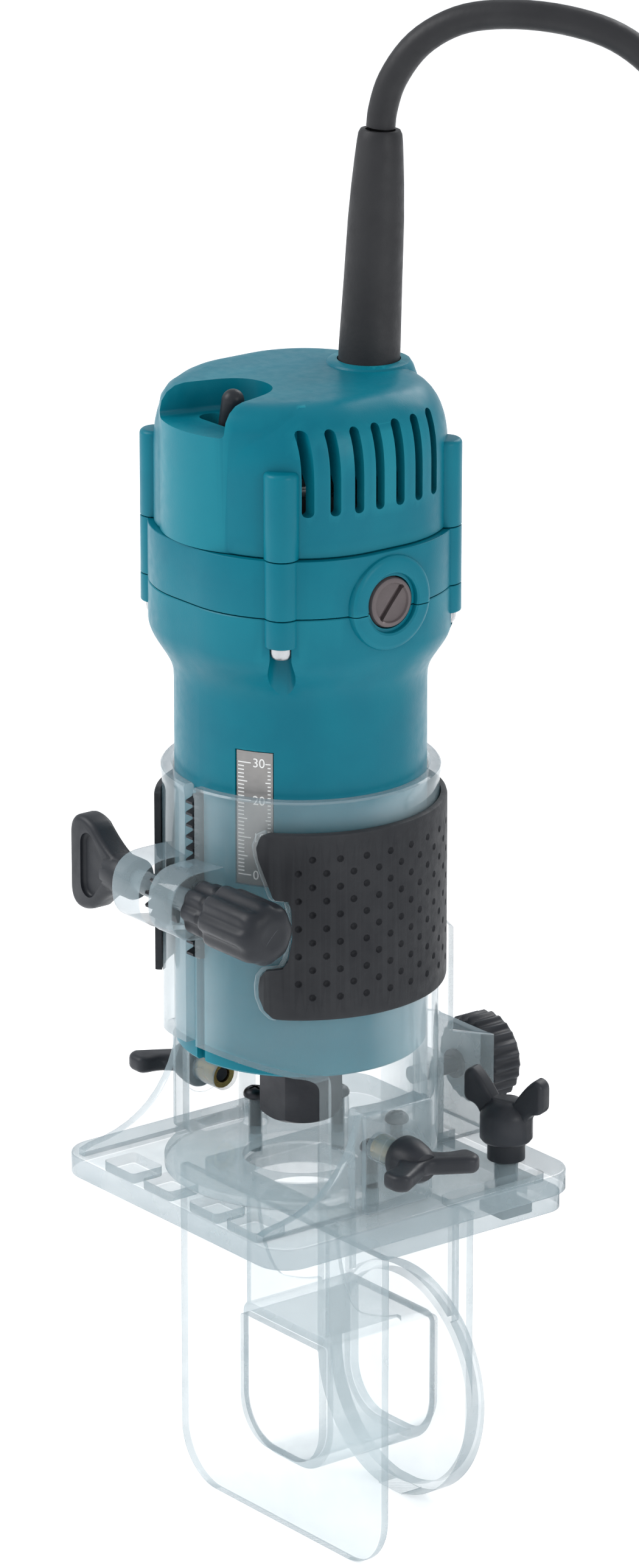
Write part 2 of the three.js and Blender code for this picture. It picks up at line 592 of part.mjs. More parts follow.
function guideBracket() {
  const room = LOCK_BOLT_R + SLIDE_FIT;
  const outline = roundedRectangle(BRACKET_LEFT, BRACKET_RIGHT, BRACKET_FRONT, BRACKET_BACK, [2, 2, 6, 6]);
  const bitRoom = roundedRectangle(-WINDOW_HALF, WINDOW_HALF, GUIDE_BACK + 1, WINDOW_HALF, [1, 1, 12, 12]);
  const lockSlot = roundedRectangle(LOCK_X - room, LOCK_X + room, LOCK_Y - room - GUIDE_TRAVEL,
    LOCK_Y + room + GUIDE_TRAVEL, [room - 0.1, room - 0.1, room - 0.1, room - 0.1]);
  const tab = box(-TAB_HALF, TAB_HALF, TAB_Y - TAB_T / 2, TAB_Y + TAB_T / 2, BRACKET_LOW + 1,
    ADJUST_HEIGHT + 2.5 * ADJUST_SCREW_R);
  return cut(join(prism('z', outline, BRACKET_LOW, UNDER_PLATE), tab),
    prism('z', bitRoom, BRACKET_LOW - 1, UNDER_PLATE + 1),
    prism('z', lockSlot, BRACKET_LOW - 1, UNDER_PLATE + 1),
    rod('y', ADJUST_SCREW_R + THREAD_FIT, TAB_Y - TAB_T, TAB_Y + TAB_T, 0, ADJUST_HEIGHT, 16));
}

function guidePlate() {
  const outline = roundedRectangle(-GUIDE_HALF, GUIDE_HALF, -GUIDE_DROP, GUIDE_HIGH,
    [GUIDE_CORNER, GUIDE_CORNER, 1, 1]);
  return cut(prism('y', outline, GUIDE_Y - GUIDE_T / 2, GUIDE_BACK),
    prism('y', windowOutline(), GUIDE_Y - GUIDE_T, GUIDE_BACK + 1));
}

/** The duct behind the window, with two gussets up to the bracket. */
function guideDuct() {
  const from = GUIDE_BACK + GAP;
  const to = FLANGE_Y - GAP;
  const top = -WINDOW_TOP + DUCT_WALL;
  const gusset = polygon([[from, top - 1], [from + 24, top - 1], [from + 24, top + 1],
    [from + 11, top + 5], [from + 3, GUIDE_HIGH - GAP], [from, GUIDE_HIGH - GAP]]);
  const tube = cut(prism('y', windowOutline(DUCT_WALL), from, to),
    prism('y', windowOutline(), from - 1, to + 1));
  return join(tube, ...FACES.map((s) => prism('x', gusset,
    s * WINDOW_HALF - 1, s * WINDOW_HALF + 1)));
}

/** The square panel behind the duct, with the round rim of its port. */
function guideRearFlange() {
  const middle = -(GUIDE_DROP - FLANGE_R);
  const panel = new THREE.Shape();
  panel.moveTo(FLANGE_R, GUIDE_HIGH);
  panel.lineTo(-FLANGE_R, GUIDE_HIGH);
  panel.lineTo(-FLANGE_R, middle);
  panel.absarc(0, middle, FLANGE_R, Math.PI, 1.5 * Math.PI - rad(9));
  panel.lineTo(0, middle - FLANGE_R);
  panel.absarc(0, middle, FLANGE_R, 1.5 * Math.PI + rad(9), 2 * Math.PI);
  const flatFoot = box(-5, 5, FLANGE_Y, FLANGE_Y + FLANGE_RIM_DEPTH, -GUIDE_DROP,
    -GUIDE_DROP + FLANGE_T);
  const rim = cut(rod('y', FLANGE_R, FLANGE_Y, FLANGE_Y + FLANGE_RIM_DEPTH, 0, middle, 32),
    rod('y', FLANGE_R - FLANGE_T, FLANGE_Y - 1, FLANGE_Y + FLANGE_RIM_DEPTH + 1, 0, middle, 32));
  return cut(join(prism('y', panel, FLANGE_Y, FLANGE_Y + FLANGE_T, 5), rim, flatFoot),
    prism('y', windowOutline(), FLANGE_Y - 1, FLANGE_Y + FLANGE_T + 1));
}

/** The bolt that locks the guide, with a square head under the bracket. */
function guideLockBolt() {
  const headTop = BRACKET_LOW - GAP;
  const half = LOCK_HEAD_HALF;
  return join(box(LOCK_X - half, LOCK_X + half, LOCK_Y - half, LOCK_Y + half,
    headTop - LOCK_HEAD_T, headTop),
    rod('z', LOCK_BOLT_R, headTop - 1, PLATE_T + 12, LOCK_X, LOCK_Y, 16));
}

function guideLockNut() {
  const seat = PLATE_T + GAP;
  const wings = new THREE.ExtrudeGeometry(
    wingOutline(LOCK_HUB_R - 1, LOCK_WING, 2.6, seat + 7, seat + 24),
    { depth: 5, bevelEnabled: false, curveSegments: 2 });
  wings.translate(0, 0, -2.5).rotateX(Math.PI / 2).rotateZ(rad(20)).translate(LOCK_X, LOCK_Y, 0);
  return cut(join(solid(wings), rod('z', LOCK_HUB_R - 2, seat, seat + 6, LOCK_X, LOCK_Y, 20),
    rod('z', LOCK_HUB_R, seat + 5, seat + 14, LOCK_X, LOCK_Y, 20)),
  rod('z', LOCK_BOLT_R + THREAD_FIT, seat - 1, seat + 12.5, LOCK_X, LOCK_Y, 16));
}

function guideAdjustScrew() {
  return join(
    rod('y', ADJUST_SCREW_R, SLEEVE_OUT + 1, PLATE_BACK + 8, 0, ADJUST_HEIGHT, 16),
    rod('y', 4, ADJUST_WALL_FRONT - GAP - 1, ADJUST_WALL_FRONT - GAP, 0, ADJUST_HEIGHT, 16));
}

function guideAdjustKnob() {
  const rim = toothed(20, ADJUST_KNOB_R - 0.7, ADJUST_KNOB_R, 0, ADJUST_HEIGHT);
  return cut(join(prism('y', rim, PLATE_BACK + 0.2, PLATE_BACK + ADJUST_KNOB_T),
    rod('y', 5, PLATE_BACK, PLATE_BACK + 1, 0, ADJUST_HEIGHT, 20)),
  rod('y', ADJUST_SCREW_R + THREAD_FIT, PLATE_BACK - 1, PLATE_BACK + 8.5, 0, ADJUST_HEIGHT, 16));
}

// ---- motor housings ----
const bossPlaces = [[1, 1], [-1, 1], [-1, -1], [1, -1]].map(([x, y]) => [x * BOSS_PLACE, y * BOSS_PLACE]);
const posts = (r, low, high, sides = 12) => bossPlaces.map(([x, y]) => rod('z', r, low, high, x, y, sides));
const screwHoles = (low, high) => posts(HOUSING_SCREW_R + THREAD_FIT, low, high, 8);

/** The two bosses of the brush caps, and what is bored out of them. */
const brushBosses = () => FACES.map((s) => (
  rod('x', BRUSH_BOSS_R, s * (HOUSING_HALF - 9), s * (HOUSING_HALF + 1.2), 0, BRUSH_HEIGHT, 20)));
const brushBores = () => FACES.flatMap((s) => {
  const half = BRUSH_TUBE_HALF + GAP;
  return [
    rod('x', BRUSH_CAP_R + GAP, s * BRUSH_STOP, s * (HOUSING_HALF + 2), 0, BRUSH_HEIGHT, 24),
    box(s * (HOUSING_HALF - 12), s * (BRUSH_STOP + 1), -half, half,
      BRUSH_HEIGHT - half, BRUSH_HEIGHT + half),
  ];
});

/** The recess of the scale strip: an arc with the clearance round it. */
const scaleArc = (inner, outer, room) => {
  const half = THREE.MathUtils.radToDeg((SCALE_WIDTH / 2 + room) / BARREL_R);
  return arcStrip(inner, outer, SCALE_ANGLE - half, SCALE_ANGLE + half);
};

function barrelHousing() {
  const outer = turned([[0, 0], [BARREL_R - 1, 0], [BARREL_R, 1], [BARREL_R, BARREL_LENGTH],
    [BARREL_R + 1.5, BARREL_LENGTH + 6], [HOUSING_HALF - 2, FLANGE_START - 4],
    [HOUSING_HALF, FLANGE_START + 0.5], [0, FLANGE_START + 0.5]], 32);
  const cavity = turned([[0, 3], [BARREL_IN, 3], [BARREL_IN, BARREL_LENGTH + 6],
    [HOUSING_HALF - 4, FLANGE_START], [HOUSING_HALF - 4, LOWER_SPLIT + 1], [0, LOWER_SPLIT + 1]], 24);
  const seatTop = 6 + LOWER_BEARING_WIDTH;
  const body = join(
    cut(join(outer, prism('z', bodyOutline(0), FLANGE_START, LOWER_SPLIT, 3)), cavity),
    rod('z', LOWER_BEARING_R + 3.5, 0, seatTop), ...posts(BOSS_R, BOSS_START, LOWER_SPLIT),
    ...brushBosses());
  return cut(body,
    rod('z', LOWER_BEARING_R + GAP, 6 - GAP, seatTop + 1), rod('z', LOWER_BEARING_R - 2, -1, 7),
    box(-RACK_HALF - GAP, RACK_HALF + GAP, -HOUSING_HALF, -(RACK_ROOT - RACK_BACK - GAP),
      -1, RACK_LOW + (RACK_TEETH + 1) * RACK_PITCH),
    prism('z', scaleArc(BARREL_R - 2 * GAP - SCALE_T, BARREL_R + 1, GAP), SCALE_LOW - GAP,
      SCALE_HIGH + GAP),
    ...posts(HOUSING_SCREW_HEAD_R + GAP, BARREL_LENGTH, BOSS_START),
    ...screwHoles(BOSS_START - 1, LOWER_SPLIT + 1), ...brushBores(),
    box(-60, 60, -60, 60, LOWER_SPLIT, LOWER_SPLIT + 30));
}

function middleHousing() {
  const low = LOWER_SPLIT + GAP;
  const shell = cut(prism('z', bodyOutline(0), low, UPPER_SPLIT, 3),
    prism('z', bodyOutline(HOUSING_WALL), low - 1, UPPER_SPLIT + 1, 3));
  return cut(join(shell, ...posts(BOSS_R, low, UPPER_SPLIT), ...brushBosses()),
    ...screwHoles(low - 1, UPPER_SPLIT + 1), ...brushBores(),
    box(-60, 60, -60, 60, low - 30, low));
}

/** A block with a rounded upper edge, from the body outline drawn in step by step. */
function shoulderedBlock(inset, low, high, radius, steps = 3) {
  const layers = [prism('z', bodyOutline(inset), low, high - radius, 2)];
  for (let i = 1; i <= steps; i += 1) {
    const rise = radius * i / steps;
    const draw = radius - Math.sqrt(radius ** 2 - rise ** 2);
    const drawn = Math.min(draw, 0.72 * radius);
    layers.push(prism('z', bodyOutline(inset + drawn), low, high - radius + rise, 2));
  }
  return join(...layers);
}

function vents() {
  const slots = [];
  for (let i = 0; i < VENT_COUNT; i += 1) {
    const y = VENT_MIDDLE + (i - (VENT_COUNT - 1) / 2) * VENT_PITCH;
    for (const s of FACES) {
      slots.push(box(s * (HOUSING_HALF - SHOULDER_R), s * (HOUSING_HALF + 5),
        y - VENT_WIDTH / 2, y + VENT_WIDTH / 2, VENT_LOW, VENT_HIGH));
    }
  }
  return slots;
}

function topCover() {
  const low = UPPER_SPLIT + GAP;
  const roof = POCKET_FLOOR - HOUSING_WALL;
  const outside = join(shoulderedBlock(COVER_INSET, low, COVER_TOP, SHOULDER_R),
    rod('z', LOBE_R, low, COVER_TOP, 0, LOBE_Y, 24),
    ...posts(BOSS_R, low, BOSS_TOP));
  const inside = join(
    prism('z', bodyOutline(COVER_INSET + HOUSING_WALL), low - 1, roof - HOUSING_WALL),
    rod('z', LOBE_R - HOUSING_WALL, low - 1, roof, 0, LOBE_Y, 24));
  const shell = join(cut(outside, inside),
    ...posts(BOSS_R, low, BOSS_TOP - 1));
  return cut(shell, ...vents(), ...screwHoles(low - 1, BOSS_TOP - 4),
    box(-POCKET_HALF, POCKET_HALF, -60, POCKET_BACK, POCKET_FLOOR, COVER_TOP + 1),
    box(-8.5, 8.5, LEVER_Y - LEVER_R - GAP, LEVER_Y + LEVER_R + GAP, roof - 1, POCKET_FLOOR + 1),
    rod('z', GUARD_R + GAP, roof - 1, COVER_TOP + 1, 0, GUARD_Y, 16),
    rod('z', GUARD_R + 1.5 + GAP, roof - 4, roof, 0, GUARD_Y, 16));
}

/** A housing screw in one corner, from its head under the barrel flange up into the top cover. */
const housingScrew = ([x, y]) => join(
  rod('z', HOUSING_SCREW_R, BOSS_START - GAP - 1, BOSS_TOP - 6, x, y, 8),
  rod('z', HOUSING_SCREW_HEAD_R, BOSS_START - GAP - 3, BOSS_START - GAP, x, y, 12));

function brushCap(s) {
  const face = HOUSING_HALF + 0.6;
  return cut(rod('x', BRUSH_CAP_R, s * (BRUSH_STOP + GAP), s * face, 0, BRUSH_HEIGHT, 24),
    box(s * (face - 1.2), s * (face + 1), -0.8, 0.8, BRUSH_HEIGHT - 5, BRUSH_HEIGHT + 5));
}

/** A square tube that guides a brush. */
function brushHolder(s) {
  const inside = BRUSH_HALF + GAP;
  const [from, to] = [s * (COMMUTATOR_R + 2.5), s * (BRUSH_STOP - GAP)];
  return cut(box(from, to, -BRUSH_TUBE_HALF, BRUSH_TUBE_HALF,
    BRUSH_HEIGHT - BRUSH_TUBE_HALF, BRUSH_HEIGHT + BRUSH_TUBE_HALF),
  box(from - s, to + s, -inside, inside, BRUSH_HEIGHT - inside, BRUSH_HEIGHT + inside));
}

const carbonBrush = (s) => box(s * (COMMUTATOR_R + GAP), s * (COMMUTATOR_R + 13),
  -BRUSH_HALF, BRUSH_HALF, BRUSH_HEIGHT - BRUSH_HALF, BRUSH_HEIGHT + BRUSH_HALF);

/** A ball bearing drawn as one closed ring. */
const bearing = (shaftR, outerR, low, width) => ring(shaftR + GAP, outerR, low, low + width);

/** The bridge across the middle housing that holds the upper bearing. */
function bearingBridge() {
  const seatTop = UPPER_BEARING_LOW + UPPER_BEARING_WIDTH;
  const low = UPPER_SPLIT + 2 * GAP;
  const reach = HOUSING_HALF - HOUSING_WALL - 5;
  return cut(join(rod('z', UPPER_BEARING_R + 3, low, seatTop), box(-7, 7, -reach, reach, low, low + 3)),
    rod('z', UPPER_BEARING_R + GAP, UPPER_BEARING_LOW - GAP, seatTop + 1),
    rod('z', UPPER_BEARING_R - 2, low - 1, seatTop, 0, 0));
}

/** The toggle of the switch: a hub across the slot and a round-ended lever that leans to +X. */
function switchLever() {
  const lever = new THREE.CapsuleGeometry(LEVER_R, LEVER_LENGTH - LEVER_R, 4, 12);
  lever.rotateX(Math.PI / 2).translate(0, 0, (LEVER_LENGTH - LEVER_R) / 2);
  lever.rotateY(rad(LEVER_LEAN)).translate(0, LEVER_Y, LEVER_PIVOT);
  return join(solid(lever),
    rod('y', LEVER_R + 0.4, LEVER_Y - LEVER_R, LEVER_Y + LEVER_R, 0, LEVER_PIVOT, 16));
}

/** The guard of the cord: a plug through the cover, and a leaning taper above it. */
function cordGuard() {
  const taper = new THREE.CylinderGeometry(GUARD_TIP_R, GUARD_R, GUARD_LENGTH, 16);
  taper.rotateX(Math.PI / 2).translate(0, 0, GUARD_LENGTH / 2).rotateX(-rad(GUARD_LEAN));
  taper.translate(0, GUARD_Y, COVER_TOP);
  const roof = POCKET_FLOOR - HOUSING_WALL;
  return join(solid(taper), rod('z', GUARD_R, roof - 3, COVER_TOP + 0.5, 0, GUARD_Y, 16),
    rod('z', GUARD_R + 1.5, roof - GAP - 3, roof - GAP, 0, GUARD_Y, 16));
}

// ---- rotor ----
function spindleShaft() {
  const seat = 6 + LOWER_BEARING_WIDTH + GAP;
  const upper = UPPER_BEARING_LOW - GAP;
  return turned([[0, NUT_LOW + COLLET_LENGTH + 2 * GAP], [SPINDLE_NOSE_R, NUT_LOW + COLLET_LENGTH + 2 * GAP],
    [SPINDLE_NOSE_R, NUT_TOP + 3.4], [LOWER_JOURNAL_R, NUT_TOP + 3.4], [LOWER_JOURNAL_R, seat],
    [SPINDLE_R, seat], [SPINDLE_R, upper], [UPPER_JOURNAL_R, upper],
    [UPPER_JOURNAL_R, upper + UPPER_BEARING_WIDTH + 1], [0, upper + UPPER_BEARING_WIDTH + 1]], 20);
}

function colletNut() {
  return cut(hexagon(NUT_ACROSS, NUT_LOW, NUT_TOP),
    rod('z', SPINDLE_NOSE_R + THREAD_FIT, NUT_LOW + COLLET_LENGTH, NUT_TOP + 1),
    rod('z', COLLET_R + GAP, NUT_LOW - 1, NUT_LOW + COLLET_LENGTH + 1));
}

function coolingFan() {
  const blades = [];
  for (let i = 0; i < FAN_BLADES; i += 1) {
    const blade = new THREE.BoxGeometry(FAN_R - 8, 1.2, FAN_HEIGHT - 1);
    blade.translate((FAN_R + 7) / 2, 0, FAN_LOW + FAN_HEIGHT / 2 + 0.5);
    blades.push(solid(blade.rotateZ(2 * Math.PI * i / FAN_BLADES)));
  }
  return cut(join(rod('z', 8.5, FAN_LOW, FAN_LOW + FAN_HEIGHT), rod('z', FAN_R, FAN_LOW, FAN_LOW + 1.5),
    ...blades), rod('z', SPINDLE_R + GAP, FAN_LOW - 1, FAN_LOW + FAN_HEIGHT + 1, 0, 0, 20));
}

// ---- cord ----
function cordRun() {
  const points = CORD_ROUTE.map(([x, y, z]) => new THREE.Vector3(x, y, z));
  const path = new THREE.CatmullRomCurve3(points, false, 'centripetal');
  const section = new THREE.Shape();
  section.absarc(0, 0, CORD_R, 0, 2 * Math.PI);
  return solid(new THREE.ExtrudeGeometry(section, {
    extrudePath: path, steps: CORD_STEPS, bevelEnabled: false, curveSegments: CORD_SIDES / 2,
  }));
}

function cordCoil() {
  const inner = COIL_MIDDLE_R - COIL_TURNS_WIDE * CORD_R;
  const outer = COIL_MIDDLE_R + COIL_TURNS_WIDE * CORD_R;
  const low = -GUIDE_DROP;
  const high = low + COIL_TURNS_HIGH * CORD_D;
  const coil = new THREE.LatheGeometry([[inner, low], [outer, low], [outer, high], [inner, high],
    [inner, low]].map(([r, z]) => new THREE.Vector2(r, z)), 36);
  return solid(coil.rotateX(Math.PI / 2).translate(COIL_X, COIL_Y, 0));
}

/** A two-pin plug that lies on the coil, with its axis along Y and its pins towards -Y. */
function plugPieces() {
  const x = COIL_X - COIL_MIDDLE_R + PLUG_WIDTH / 4;
  const low = -GUIDE_DROP + COIL_TURNS_HIGH * CORD_D + GAP;
  const middle = low + PLUG_T / 2;
  const back = COIL_Y + PLUG_LENGTH / 2;
  const face = back - PLUG_LENGTH;
  const corners = [PLUG_CORNER, PLUG_CORNER, PLUG_CORNER, PLUG_CORNER];
  const outline = roundedRectangle(x - PLUG_WIDTH / 2, x + PLUG_WIDTH / 2, low, low + PLUG_T, corners);
  const body = join(prism('y', outline, face, back - PLUG_NECK_LENGTH),
    rod('y', PLUG_NECK_R, back - PLUG_NECK_LENGTH - 0.5, back, x, middle, 16, CORD_R + 1.5));
  const pins = FACES.map((s) => rod('y', PIN_R, face - PIN_LENGTH, face - GAP,
    x - s * PIN_SPACING / 2, middle, 12));
  return [body, ...pins];
}

// ---- assembly ----
const base = new THREE.Group();
const motor = new THREE.Group();
const cord = new THREE.Group();
base.position.z = GUIDE_DROP;
cord.position.z = GUIDE_DROP;
motor.position.z = GUIDE_DROP + MOTOR_LIFT;

place(base, 'base_sleeve', baseSleeve(), 'clear');
place(base, 'base_plate', basePlate(), 'clear');
place(base, 'grip_pad', gripPad(), 'rubber');
pillarPlaces.forEach(([x, y], i) => {
  const screw = new THREE.Group();
  screw.position.set(x, y, 0);
  base.add(screw);
  place(screw, `base_plate_screw_${i + 1}`, plateScrew(), 'black');
});
for (const [side, s] of Object.entries(SIDES)) {
  place(base, `side_insert_${side}`, sideInsert(s), 'brass');
  place(base, `side_wing_screw_${side}`, sideWingScrew(s), 'black');
}
place(base, 'clamp_knob', clampKnob(), 'black');
place(base, 'depth_knob', depthKnob(), 'black');
place(base, 'pinion_shaft', pinionShaft(), 'darkSteel');
place(base, 'guide_bracket', guideBracket(), 'clear');
place(base, 'guide_plate', guidePlate(), 'clear');
place(base, 'guide_duct', guideDuct(), 'clear');
place(base, 'guide_rear_flange', guideRearFlange(), 'clear');
place(base, 'guide_lock_bolt', guideLockBolt(), 'darkSteel');
place(base, 'guide_lock_wing_nut', guideLockNut(), 'black');
place(base, 'guide_adjust_screw', guideAdjustScrew(), 'darkSteel');
place(base, 'guide_adjust_knob', guideAdjustKnob(), 'black');

place(motor, 'barrel_housing', barrelHousing(), 'teal');
place(motor, 'middle_housing', middleHousing(), 'teal');
place(motor, 'top_cover', topCover(), 'teal');
place(motor, 'rack', rack(), 'darkSteel');
place(motor, 'depth_scale', prism('z', scaleArc(BARREL_R - GAP - SCALE_T, BARREL_R - GAP, 0),
  SCALE_LOW, SCALE_HIGH), 'scale');
bossPlaces.forEach((at, i) => place(motor, `housing_screw_${i + 1}`, housingScrew(at), 'steel'));
for (const [side, s] of Object.entries(SIDES)) {
  place(motor, `brush_cap_${side}`, brushCap(s), 'cap');
  place(motor, `brush_holder_${side}`, brushHolder(s), 'brass');
  place(motor, `carbon_brush_${side}`, carbonBrush(s), 'carbon');
}
const fieldIn = ARMATURE_R + AIR_GAP;
const armatureHigh = ARMATURE_LOW + ARMATURE_LENGTH;
place(motor, 'field_core', ring(fieldIn, BARREL_IN - GAP, ARMATURE_LOW, armatureHigh), 'lamination');
place(motor, 'field_coil_lower', ring(fieldIn + 1, BARREL_IN - 1, ARMATURE_LOW - GAP - WINDING_LENGTH,
  ARMATURE_LOW - GAP), 'copper');
place(motor, 'field_coil_upper', ring(fieldIn + 1, BARREL_IN - 1, armatureHigh + GAP,
  armatureHigh + GAP + WINDING_LENGTH), 'copper');
place(motor, 'lower_bearing', bearing(LOWER_JOURNAL_R, LOWER_BEARING_R, 6, LOWER_BEARING_WIDTH), 'steel');
place(motor, 'upper_bearing', bearing(UPPER_JOURNAL_R, UPPER_BEARING_R, UPPER_BEARING_LOW,
  UPPER_BEARING_WIDTH), 'steel');
place(motor, 'bearing_bridge', bearingBridge(), 'black');
place(motor, 'switch_body', box(-9, 9, LEVER_Y - 9, LEVER_Y + 8, UPPER_BEARING_LOW + 4,
  LEVER_PIVOT - LEVER_R - 1), 'black');
place(motor, 'switch_lever', switchLever(), 'black');
place(motor, 'cord_guard', cordGuard(), 'rubber');
place(motor, 'cord_clamp', box(-8, 8, GUARD_Y + 2, GUARD_Y + 8, VENT_LOW, VENT_LOW + 5), 'black');

place(motor, 'spindle_shaft', spindleShaft(), 'steel');
place(motor, 'armature_core', ring(SPINDLE_R + GAP, ARMATURE_R, ARMATURE_LOW, armatureHigh), 'lamination');
place(motor, 'armature_winding', ring(SPINDLE_R + GAP, WINDING_R, armatureHigh + GAP,
  armatureHigh + GAP + WINDING_LENGTH), 'copper');
place(motor, 'commutator', ring(SPINDLE_R + GAP, COMMUTATOR_R, BRUSH_HEIGHT - COMMUTATOR_LENGTH / 2,
  BRUSH_HEIGHT + COMMUTATOR_LENGTH / 2), 'copper');
place(motor, 'cooling_fan', coolingFan(), 'resin');
place(motor, 'collet_cone', ring(COLLET_BORE_R, COLLET_R, NUT_LOW + GAP, NUT_LOW + GAP + COLLET_LENGTH, 20),
  'steel');
place(motor, 'collet_nut', colletNut(), 'darkSteel');

place(cord, 'cord_run', cordRun(), 'rubber');
place(cord, 'cord_coil', cordCoil(), 'rubber');
const [plugBody, ...plugPins] = plugPieces();
place(cord, 'plug_body', plugBody, 'rubber');
plugPins.forEach((pin, i) => place(cord, `plug_pin_${i + 1}`, pin, 'steel'));

// The origin is on the ground, under the middle of the tool without its cord.
const router = new THREE.Group();
router.add(base, motor);
router.updateMatrixWorld(true);
const middle = new THREE.Box3().setFromObject(router).getCenter(new THREE.Vector3());
router.add(cord);
router.position.set(-middle.x, -middle.y, 0);

export default router;
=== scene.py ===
import json
import math

import bmesh
import bpy
from mathutils import Matrix, Vector


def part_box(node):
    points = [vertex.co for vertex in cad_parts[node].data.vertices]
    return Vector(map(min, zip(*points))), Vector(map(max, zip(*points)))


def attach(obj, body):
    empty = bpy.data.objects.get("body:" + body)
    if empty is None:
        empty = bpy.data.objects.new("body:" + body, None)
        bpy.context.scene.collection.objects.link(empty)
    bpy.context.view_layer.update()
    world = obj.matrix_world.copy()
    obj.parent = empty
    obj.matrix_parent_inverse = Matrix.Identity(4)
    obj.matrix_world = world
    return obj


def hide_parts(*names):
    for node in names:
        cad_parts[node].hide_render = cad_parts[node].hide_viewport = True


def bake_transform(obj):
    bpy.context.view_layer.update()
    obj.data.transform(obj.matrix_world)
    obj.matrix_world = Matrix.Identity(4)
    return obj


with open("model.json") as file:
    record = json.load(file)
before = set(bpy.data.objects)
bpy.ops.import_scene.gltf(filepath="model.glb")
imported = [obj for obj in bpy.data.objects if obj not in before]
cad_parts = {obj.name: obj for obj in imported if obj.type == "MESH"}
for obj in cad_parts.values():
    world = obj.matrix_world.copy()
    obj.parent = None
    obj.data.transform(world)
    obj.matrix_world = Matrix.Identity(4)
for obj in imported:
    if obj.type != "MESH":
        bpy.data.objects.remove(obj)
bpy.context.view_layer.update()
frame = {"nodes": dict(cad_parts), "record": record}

MM = 0.001
PLATE_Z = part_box("base_plate")[0].z
AXIS_Y = sum(corner.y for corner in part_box("middle_housing")) / 2
MOTOR = (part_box("barrel_housing")[0].z - PLATE_Z) / MM
GROUND = -PLATE_Z / MM
SIDES = {"right": 1, "left": -1}


def place(x, y, h):
    return (x * MM, AXIS_Y + y * MM, PLATE_Z + h * MM)


# ---- camera ----
AZIMUTH = math.radians(52.3)
ELEVATION = math.radians(18.2)
DISTANCE = 1.885
TARGET = Vector((0.0022, -0.0029, 0.205))


def add_camera():
    data = bpy.data.cameras.new("camera")
    data.sensor_fit = "VERTICAL"
    data.sensor_height = 36
    data.lens = 168
    data.clip_end = 50
    camera = bpy.data.objects.new("camera", data)
    bpy.context.scene.collection.objects.link(camera)
    away = Vector((math.sin(AZIMUTH) * math.cos(ELEVATION), -math.cos(AZIMUTH) * math.cos(ELEVATION),
                   math.sin(ELEVATION)))
    camera.location = TARGET + DISTANCE * away
    camera.rotation_euler = (-away).to_track_quat("-Z", "Y").to_euler()
    bpy.context.scene.camera = camera


add_camera()


# ---- meshes ----
def solid(rings, closed=False):
    """A closed mesh through rings of points; the end rings are filled unless the last joins the first."""
    n = len(rings[0])
    points = [place(*p) for ring in rings for p in ring]
    faces = []
    for i in range(len(rings) if closed else len(rings) - 1):
        a, b = i * n, (i + 1) % len(rings) * n
        faces += [(a + k, a + (k + 1) % n, b + (k + 1) % n, b + k) for k in range(n)]
    if not closed:
        faces += [tuple(range(n)), tuple(range(len(points) - n, len(points)))]
    mesh = bpy.data.meshes.new("piece")
    mesh.from_pydata(points, [], faces)
    tidy = bmesh.new()
    tidy.from_mesh(mesh)
    bmesh.ops.recalc_face_normals(tidy, faces=tidy.faces)
    tidy.to_mesh(mesh)
    tidy.free()
    obj = bpy.data.objects.new("piece", mesh)
    bpy.context.scene.collection.objects.link(obj)
    return obj


def turned_to(axis, u, v, w):
    """A point at w along an axis and (u, v) across it."""
    return {"x": (w, u, v), "y": (u, w, v), "z": (u, v, w)}[axis]


def disc(r, u=0, v=0, sides=48):
    return [(u + r * math.cos(2 * math.pi * k / sides), v + r * math.sin(2 * math.pi * k / sides))
            for k in range(sides)]


def rounded(u0, u1, v0, v1, radii, steps=8):
    """A rectangle with a radius for each corner: low left, low right, high right, high left."""
    if isinstance(radii, (int, float)):
        radii = [radii] * 4
    middles = [(u0, v0, 1, 1), (u1, v0, -1, 1), (u1, v1, -1, -1), (u0, v1, 1, -1)]
    points = []
    for corner, ((u, v, a, b), r) in enumerate(zip(middles, radii)):
        r = max(r, 0.05)
        for k in range(steps + 1):
            angle = math.pi * (1 + corner / 2 + k / steps / 2)
            points.append((u + a * r + r * math.cos(angle), v + b * r + r * math.sin(angle)))
    return points


def inset(outline, depth):
    """The outline drawn in by a depth, each corner along the middle of its two edges."""
    if not depth:
        return outline
    n = len(outline)
    area = sum(outline[i - 1][0] * outline[i][1] - outline[i][0] * outline[i - 1][1] for i in range(n))
    sense = 1 if area > 0 else -1
    drawn = []
    for i, p in enumerate(outline):
        normals = []
        for a, b in ((outline[i - 1], p), (p, outline[(i + 1) % n])):
            du, dv = b[0] - a[0], b[1] - a[1]
            size = math.hypot(du, dv) or 1
            normals.append((-dv / size * sense, du / size * sense))
        (a, b), (c, d) = normals
        scale = depth / max(1 + a * c + b * d, 0.3)
        drawn.append((p[0] + (a + c) * scale, p[1] + (b + d) * scale))
    return drawn


def rounded_rows(low, high, first, last, steps=4):
    """(place along the axis, inset) of a bar whose ends are rounded by those radii."""
    def end(r, at, sense):
        if not r:
            return [(at, 0)]
        turn = [math.pi / 2 * k / steps for k in range(steps + 1)]
        return [(at + sense * r * (1 - math.cos(t)), r * (1 - math.sin(t))) for t in turn]
    return end(first, low, 1) + end(last, high, -1)[::-1]


def slab(axis, outline, low, high, edge=0.0):
    """An outline run along an axis, with its ends rounded by one radius or two."""
    first, last = edge if isinstance(edge, tuple) else (edge, edge)
    return solid([[turned_to(axis, u, v, w) for u, v in inset(outline, depth)]
                  for w, depth in rounded_rows(low, high, first, last)])


def bar(axis, r, low, high, u=0, v=0, edge=0.0, sides=48):
    return slab(axis, disc(r, u, v, sides), min(low, high), max(low, high), edge)


